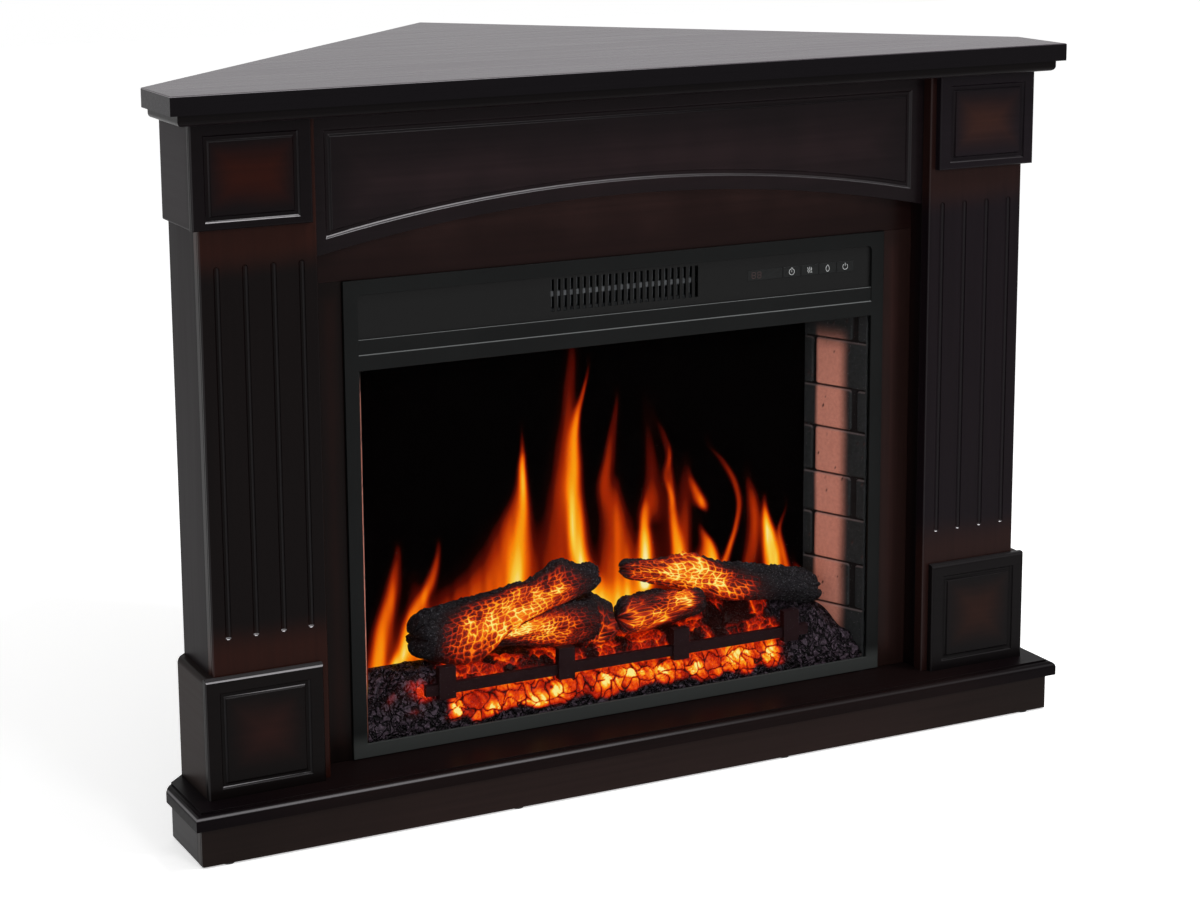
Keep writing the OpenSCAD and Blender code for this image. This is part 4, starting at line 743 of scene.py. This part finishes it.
# the heat that shows as the last colour of the glow
FULL_GLOW = 1.15
log_glow = [(0.0, tint(0, 0, 0)), (0.08, tint(26, 4, 3)), (0.2, tint(98, 16, 5)),
            (0.33, tint(176, 36, 5)), (0.47, tint(234, 84, 6)), (0.62, tint(253, 136, 14)),
            (0.8, tint(255, 192, 40)), (1.0, tint(255, 238, 130))]
resin = Finish("log_resin", Roughness=0.7, Specular_IOR_Level=0.1)
grit = resin.noise(resin.place(), 420.0, 4.0, 0.65)
bark = resin.ramp(resin.noise(resin.place((60, 160, 160)), 1.0, 4.0),
                  (0.35, tint(18, 8, 8)), (0.65, tint(46, 19, 16)))
# the palest grains of the charcoal are painted glints
charcoal = resin.ramp(grit, (0.35, tint(12, 11, 13)), (0.58, tint(34, 32, 36)),
                      (0.72, tint(112, 110, 116)))
shade = resin.mix(resin.stored("char"), bark, charcoal)
# painted shade: the base colour darkens to near black in the cracks of the bark
shade = resin.mix(resin.math("MULTIPLY", resin.stored("crack"), 0.7), shade, tint(10, 5, 5))
log_heat = resin.math("DIVIDE", resin.stored("warmth"), FULL_GLOW)
resin.set(Base_Color=shade, Emission_Color=resin.ramp(log_heat, *log_glow), Emission_Strength=1.0)
resin.bump(grit, 0.0008, 0.6)

BIG_Y, SMALL_Y, BED_TOP = -202.2, -215.2, 143
LEFT = log_surface(
    "left_log_casting", BIG_Y, BED_TOP, [(-258, 184, 27), (-12, 227, 18)],
    knot=(-66, 14, 20), belly=(-184, 30, 50),
    hot=[(-104, 58, 184, 74, 1.15), (-118, 26, 222, 34, .5), (-162, 46, 185, 66, .85),
         (-210, 30, 200, 50, .6), (-60, 24, 180, 60, .35)],
    seed=11, char=(30, 30), cell=5.8)
NEAR = log_surface(
    "near_log_casting", SMALL_Y, BED_TOP, [(-156, 167, 6), (-22, 176, 24)],
    knot=(-74, 11, 38), belly=(-80, 8, 38),
    hot=[(-122, 36, 124, 34, 1.5), (-80, 50, 180, 80, .95)],
    seed=21, char=(0, 6), cell=5.0)
RIGHT = log_surface(
    "right_log_casting", BIG_Y, BED_TOP, [(20, 230, 13), (298, 166, 24)],
    knot=(114, 12, 34), belly=(165, 10, 45),
    hot=[(108, 38, 170, 66, 1.5), (50, 36, 180, 90, .8), (156, 32, 200, 56, .8),
         (112, 32, 90, 44, .8), (200, 40, 200, 60, .34)],
    seed=31, char=(0, 92))
SHORT = log_surface(
    "short_log_casting", SMALL_Y, BED_TOP, [(10, 172, 23), (126, 178, 15)],
    knot=(60, 5, 26), belly=(54, 3, 30),
    hot=[(98, 26, 130, 60, 1.2), (24, 36, 190, 150, .85), (62, 34, 190, 70, .6)],
    seed=41, char=(0, 0), cell=4.6, stretch=3.2, square=False)
HEAP = log_surface(
    "middle_coals", SMALL_Y + 14, BED_TOP, [(-46, 162, 26), (4, 160, 26)],
    knot=(-22, 16, 24), belly=(-6, 2, 30),
    hot=[(-20, 44, 190, 80, .66)],
    seed=71, char=(0, 0), cell=10.0, stretch=1.0, square=False)
for casting in (LEFT, NEAR, RIGHT, SHORT, HEAP):
    casting.data.materials.append(resin.material)
    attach(casting, "root")
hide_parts("left_log")
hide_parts("right_log")
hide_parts("small_logs")
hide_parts("small_logs")
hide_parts("ember_bed")


# ---------- ember bed ----------
# One moulded shell of clear amber resin across the whole hearth, cast as heaped coals, with
# painted shade making its creases black. Lamps under it light the front bank and the coals behind the
# bar.
BED_LEFT, BED_FRONT, BED_BACK, BED_UNDER, BED_FOOT = -340, -251.6, -167.3, 71.2, 71.4
BAR_Y, SLOPE_DOWN, RISE_UP = -244, 26, 25
s = np.linspace(0, 1, 118)
path_y = np.interp(s, [0, .30, .40, .44, .52, .62, 1],
                   [BED_FRONT, -250.2, -244, -240.6, -236.5, -228, BED_BACK])
path_z = np.interp(s, [0, .30, .40, .44, .52, .62, .72, 1],
                   [BED_FOOT, 100, 114, 119, 133, 141, 142, 142])
half = np.interp(path_y, [BED_FRONT, BED_BACK], [336.2, 301.0]) - 0.5
share = np.linspace(-1, 1, 560)
x = share[None, :] * half[:, None]
y = np.broadcast_to(path_y[:, None], x.shape).copy()
z = np.broadcast_to(path_z[:, None], x.shape).copy()
# u runs along the bed from its left end and run up its face and back, both in mm
u = x - BED_LEFT
run = np.concatenate([[0], np.cumsum(np.hypot(np.diff(path_y), np.diff(path_z)))])
run = np.broadcast_to(run[:, None], x.shape)
swirl_u = 0.9 * (noise_field(u / 13, run / 13 + 1, 61) - 0.5)
swirl_run = 0.9 * (noise_field(u / 11, run / 15 + 1, 62) - 0.5)
# each lump is a dome on a cell of about 17 mm, with smaller coals of 6.5 and 3.1 mm on it
border, away, own = cells(u / 17 + swirl_u + 1, run / 15 + swirl_run + 1, 51)
fine, _, speck = cells(u / 6.5 + 2 * swirl_run + 2, run / 6.5 + 2 * swirl_u + 2, 52)
tiny = cells(u / 3.1 + swirl_u + 1, run / 3.1 + 1, 53)[0]
lump = (4.6 * (1 - (away / 0.85) ** 2) * np.tanh(4 * border) + 1.7 * np.tanh(fine * 3)
        + 0.7 * np.tanh(4 * tiny) + 2.4 * (own - 0.5))
# the lumps die away at the rim, stand forwards on the front face and upwards behind it, and are
# low under the grate's bar
off_rim = np.minimum(eased(s * 9), eased((1 - s) * 9))[:, None]
off_rim = off_rim * eased((1 - np.abs(share)) * 30)[None, :]
lump *= off_rim
upward = eased((y - BED_FRONT - 1) / 8)
by_bar = eased((np.abs(y - BAR_Y) - 3) / 5)
# the coals slope down to both walls in front, and rise under the right log
beach = -SLOPE_DOWN * eased((np.abs(x) - 280) / 34) * bump_at(y, -226, 22)
mound = RISE_UP * eased((x - 108) / 24) * eased((290 - x) / 36) * bump_at(y, -193, 17)
z += lump * upward * (0.35 + 0.65 * by_bar) + beach + mound * off_rim
y += -lump * (1 - upward) * 0.45 + 1.6 * (1 - upward) * off_rim
y = np.clip(y, BED_FRONT, BED_BACK)

# the light: a bank of bright coals in front, a line over it, dim coals behind, none at the walls
shift = noise_field(u / 16, run / 22 + 1, 63) - 0.5
lit = eased((236 + 16 * shift - np.abs(x + 5)) / 16)
bank = lit * eased((run - 15 - 12 * shift) / 9) * eased((56 - run) / 6)
behind = lit * eased((run - 48) / 8) * eased((140 - run) / 50)
# places in the bank right over a lamp: x, run and reach
LAMPS = [(-222, 33, 9), (-172, 25, 12), (-118, 26, 16), (-88, 34, 10), (-24, 36, 17), (12, 40, 12),
         (52, 36, 14), (101, 34, 13), (160, 40, 17), (205, 38, 9)]
spots = sum(bump_at(x, place, wide) * bump_at(run, up_it, 8) for place, up_it, wide in LAMPS)
body = np.clip(1 - (away / 0.75) ** 2, -1, 1)
face_glow = 0.27 + 0.3 * own + 0.14 * body + 0.14 * (speck - 0.5) + 0.85 * spots
crease = np.exp(-(border / 0.09) ** 2) + 0.45 * np.exp(-(fine / 0.1) ** 2) * eased(2 * shift + 0.6)
crease = np.clip(crease, 0, 1)
fan = noise_field(u / 3.5 + run / 7 + 2 * swirl_u + 1, run / 13 + 1, 64) - 0.5
heat = bank * face_glow * (1 + 0.7 * fan) * (1 - 0.86 * crease)
heat += lit * bump_at(run, 56, 4) * (0.25 + 0.6 * eased(2 * fan + 0.5))
deep = 0.2 * eased(4 * shift + 0.4) * (0.6 + 0.8 * speck)
between = 0.4 * np.exp(-(border / 0.12) ** 2) + 0.2 * np.exp(-(fine / 0.12) ** 2)
heat += behind * (0.03 + 0.06 * own + deep + between * eased(3 * shift + 0.8))
# stray warm coals beyond the ends of the bank: x, run, their two reaches and heat
STRAYS = [(-268, 62, 15, 11, .85), (-258, 50, 12, 6, .6), (-300, 64, 10, 8, .3),
          (236, 62, 9, 9, .5), (-275, 36, 10, 5, .35)]
for place, up_it, wide, tall, warm in STRAYS:
    stray = warm * bump_at(x, place, wide) * bump_at(run, up_it, tall)
    heat += stray * (0.35 + 0.5 * own) * (1 - 0.8 * crease)
unlit_foot = 1 - eased((run - 14 - 12 * shift) / 8)
bed = block("ember_bed_shell", np.stack([x, y, z], -1),
            lambda rim: np.column_stack([rim[:, :2], 0 * rim[:, 2] + BED_UNDER]),
            {"warmth": heat, "crack": crease, "char": np.clip(1 - lit + unlit_foot, 0, 1)})

amber = Finish("ember_resin", Roughness=0.42, Specular_IOR_Level=0.08)
grit = amber.noise(amber.place(), 300.0, 5.0, 0.65)
fold = amber.span(amber.crackle(60.0, 0.05), 0.0, 0.2)
# the palest grains of the coal are painted glints
coal = amber.ramp(grit, (0.35, tint(48, 39, 47)), (0.64, tint(84, 71, 82)),
                  (0.78, tint(150, 145, 156)))
# painted shade: the folds between the coals are near black
coal = amber.mix(fold, tint(5, 4, 5), coal)
dark_red = amber.ramp(grit, (0.35, tint(14, 4, 4)), (0.7, tint(38, 11, 8)))
shade = amber.mix(amber.stored("char"), dark_red, coal)
# painted shade: darker still in the creases of the lumps
shade = amber.mix(amber.math("MULTIPLY", amber.stored("crack"), 0.8), shade, tint(6, 3, 3))
bed_heat = amber.math("DIVIDE", amber.stored("warmth"), FULL_GLOW)
bed_heat = amber.math("MULTIPLY", bed_heat, amber.span(fold, 0.0, 0.6, 0.85, 1.0))
# thick resin lets less yellow through than the logs' thin bark does, so its glow is redder
bed_glow = [(0.0, tint(0, 0, 0)), (0.08, tint(26, 3, 2)), (0.2, tint(104, 12, 4)),
            (0.34, tint(184, 30, 4)), (0.5, tint(236, 70, 5)), (0.66, tint(252, 120, 10)),
            (0.84, tint(255, 186, 36)), (1.0, tint(255, 240, 140))]
amber.set(Base_Color=shade, Emission_Color=amber.ramp(bed_heat, *bed_glow), Emission_Strength=1.0)
amber.bump(amber.math("ADD", fold, amber.math("MULTIPLY", grit, 0.25)), 0.004, 0.9)
bed.data.materials.append(amber.material)
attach(bed, "root")
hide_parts("ember_bed")

# ---------- grate ----------
# A black moulding that imitates a cast-iron bar with four uprights, pinned on to the ember bed.
iron = Finish("grate_black", Roughness=0.5, Specular_IOR_Level=0.06)
cast = iron.noise(iron.place(), 350.0, 4.0, 0.6)
iron.set(Base_Color=iron.mottle(cast, (27, 12, 14), (39, 20, 23)))
paint(iron.bump(cast, 0.0004, 0.5), "grate")

# ---------- flame drive and lamps ----------
# A wire shaft with bent foils of bright metal tape, turned by a small geared motor in sintered
# brass bushes, over strips of lamps on white circuit board.
for name, metal, rough, low, high, scale in [
        ("flame_rotor", 1.0, 0.18, (170, 174, 180), (205, 208, 212), (60, 60, 60)),
        ("rotor_motor", 1.0, 0.38, (120, 122, 124), (150, 152, 154), (20, 900, 900)),
        ("blower_motor", 1.0, 0.4, (104, 106, 108), (140, 142, 144), (700, 700, 20)),
        ("bearing_bushes", 1.0, 0.42, (150, 116, 58), (190, 154, 84), (800, 800, 800)),
        ("blower_housing", 1.0, 0.36, (140, 144, 146), (172, 175, 177), (25, 400, 400)),
        ("blower_wheel", 1.0, 0.3, (180, 182, 184), (208, 210, 212), (20, 500, 500)),
        ("heater_element", 1.0, 0.34, (66, 68, 70), (108, 110, 112), (300, 300, 25)),
        ("led_strips", 0.0, 0.45, (214, 210, 194), (236, 233, 220), (200, 200, 200)),
        ("control_board", 0.0, 0.4, (24, 70, 42), (36, 92, 56), (500, 500, 500))]:
    works = Finish(name + "_finish", Metallic=metal, Roughness=rough)
    drawn = works.noise(works.place(scale), 1.0, 3.0, 0.6)
    works.set(Base_Color=works.mottle(drawn, low, high),
              Roughness=works.span(drawn, 0.3, 0.7, rough - 0.06, rough + 0.08))
    paint(works.bump(drawn, 0.00006, 0.4), name)

# ---------- keys and display ----------
# Four glossy black keys in a row with printed light grey symbols, and a dark window over two
# small displays beside them. Their upper edges catch the light.
gloss = Finish("key_gloss", Roughness=0.2, Specular_IOR_Level=0.12)
film = gloss.noise(gloss.place(), 260.0, 2.0)
black = gloss.mottle(film, (17, 18, 18), (23, 24, 24))
upper_edge = gloss.span(gloss.normal()[Z], 0.3, 0.7, 0, 0.6)
gloss.set(Base_Color=gloss.mix(upper_edge, black, tint(130, 132, 132)),
          Roughness=gloss.span(film, 0.3, 0.7, 0.18, 0.26))
paint(gloss, "timer_key", "heat_key", "flame_key", "power_key", "display_window")

PRINT_HEIGHT = 0.06


def strokes(name, lines, x, z, y, width):
    """Symbol printed as strokes: each line of points, in mm from (x, z), becomes a flat band of
    that width, as high as a print, which stands on the plane y and faces the front."""
    points, faces, count = [], [], 0
    for line in lines:
        line = np.array(line, float)
        along = np.gradient(line, axis=0)
        along /= np.linalg.norm(along, axis=1)[:, None]
        side = np.stack([-along[:, 1], along[:, 0]], -1) * width / 2
        closed = np.allclose(line[0], line[-1])
        if closed:
            line, side = line[:-1], side[:-1]
        corners = [(line - side, 0), (line - side, PRINT_HEIGHT),
                   (line + side, PRINT_HEIGHT), (line + side, 0)]
        ring = [np.column_stack([x + p[:, 0], np.full(len(p), y - h), z + p[:, 1]])
                for p, h in corners]
        points.append(np.stack(ring, 1).reshape(-1, 3))
        n = len(line)
        here = count + 4 * np.arange(n if closed else n - 1)[:, None]
        there = count + (here - count + 4) % (4 * n)
        k = np.arange(4)[None, :]
        after = (k + 1) % 4
        faces.append(np.stack([here + k, here + after, there + after, there + k], -1).reshape(-1, 4))
        if not closed:
            start_cap, end_cap = np.array([[3, 2, 1, 0]]), np.array([[0, 1, 2, 3]])
            faces += [count + start_cap, count + 4 * (n - 1) + end_cap]
        count += 4 * n
    return build(name, np.concatenate(points), faces, {}, 30)


def arc(radius, start, end, count=40):
    """Points on a circle round 0 between two angles in degrees."""
    a = np.radians(np.linspace(start, end, count))
    return np.column_stack([radius * np.cos(a), radius * np.sin(a)])


def bend(start, pull, end, count=22):
    """Points on the curve from start to end that pull draws towards itself: the three weighted
    by (1 - t) squared, 2 t (1 - t) and t squared."""
    t = np.linspace(0, 1, count)[:, None]
    return (1 - t) ** 2 * np.array(start) + 2 * t * (1 - t) * np.array(pull) + t ** 2 * np.array(end)


SYMBOL_SCALE, LINE_WIDTH, DIGIT_LINE_WIDTH = 1.4, 0.5, 0.7
wave_z = np.linspace(-2.6, 2.6, 15)
wave = np.column_stack([0.45 * np.sin(wave_z * 2.3), wave_z])
drop = np.concatenate([bend((0.2, 3.1), (-3.4, -0.4), (0, -2.9)),
                       bend((0, -2.9), (3.6, -1.2), (0.2, 3.1))[1:]])
symbols = {
    "timer": [arc(2.6, 90, 450), [(0, -0.2), (0, 1.2)], [(-0.8, 3.5), (0.8, 3.5)]],
    "heat": [wave + (-1.7, 0), wave, wave + (1.7, 0)],
    "flame": [drop],
    "power": [arc(2.5, 125, 415), [(0, 0.6), (0, 3.2)]]}
print_grey = Finish("printed_grey", Roughness=0.5, Specular_IOR_Level=0.2)
dots = print_grey.noise(print_grey.place(), 1500.0, 2.0)
print_grey.set(Base_Color=print_grey.mottle(dots, (196, 198, 198), (224, 226, 226)))
for key, lines in symbols.items():
    key_low, key_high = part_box(key + "_key")
    middle = (key_low + key_high) * 500
    symbol = strokes(key + "_symbol", [SYMBOL_SCALE * np.array(line) for line in lines],
                     middle.x, middle.z, key_low.y * 1000, LINE_WIDTH)
    symbol.data.materials.append(print_grey.material)
    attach(symbol, key + "_key")

# two digits, unlit, behind the display window's first half
ghost = Finish("unlit_digits", Roughness=0.35, Specular_IOR_Level=0.2)
veil = ghost.noise(ghost.place(), 900.0, 2.0)
ghost.set(Base_Color=ghost.mottle(veil, (52, 38, 38), (72, 51, 49)))
window_low, window_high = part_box("display_window")
centre_z = (window_low.z + window_high.z) * 500
segments = [[(-1.9, 3.6), (1.9, 3.6)], [(-1.9, 0), (1.9, 0)], [(-1.9, -3.6), (1.9, -3.6)],
            [(-2.3, 0.4), (-2.3, 3.3)], [(2.3, 0.4), (2.3, 3.3)], [(-2.3, -3.3), (-2.3, -0.4)],
            [(2.3, -3.3), (2.3, -0.4)]]
digits = [np.array(line) + (place, 0) for place in (-3.9, 3.9) for line in segments]
unlit = strokes("display_digits", digits, window_low.x * 1000 + 12, centre_z,
                window_low.y * 1000, DIGIT_LINE_WIDTH)
unlit.data.materials.append(ghost.material)
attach(unlit, "root")
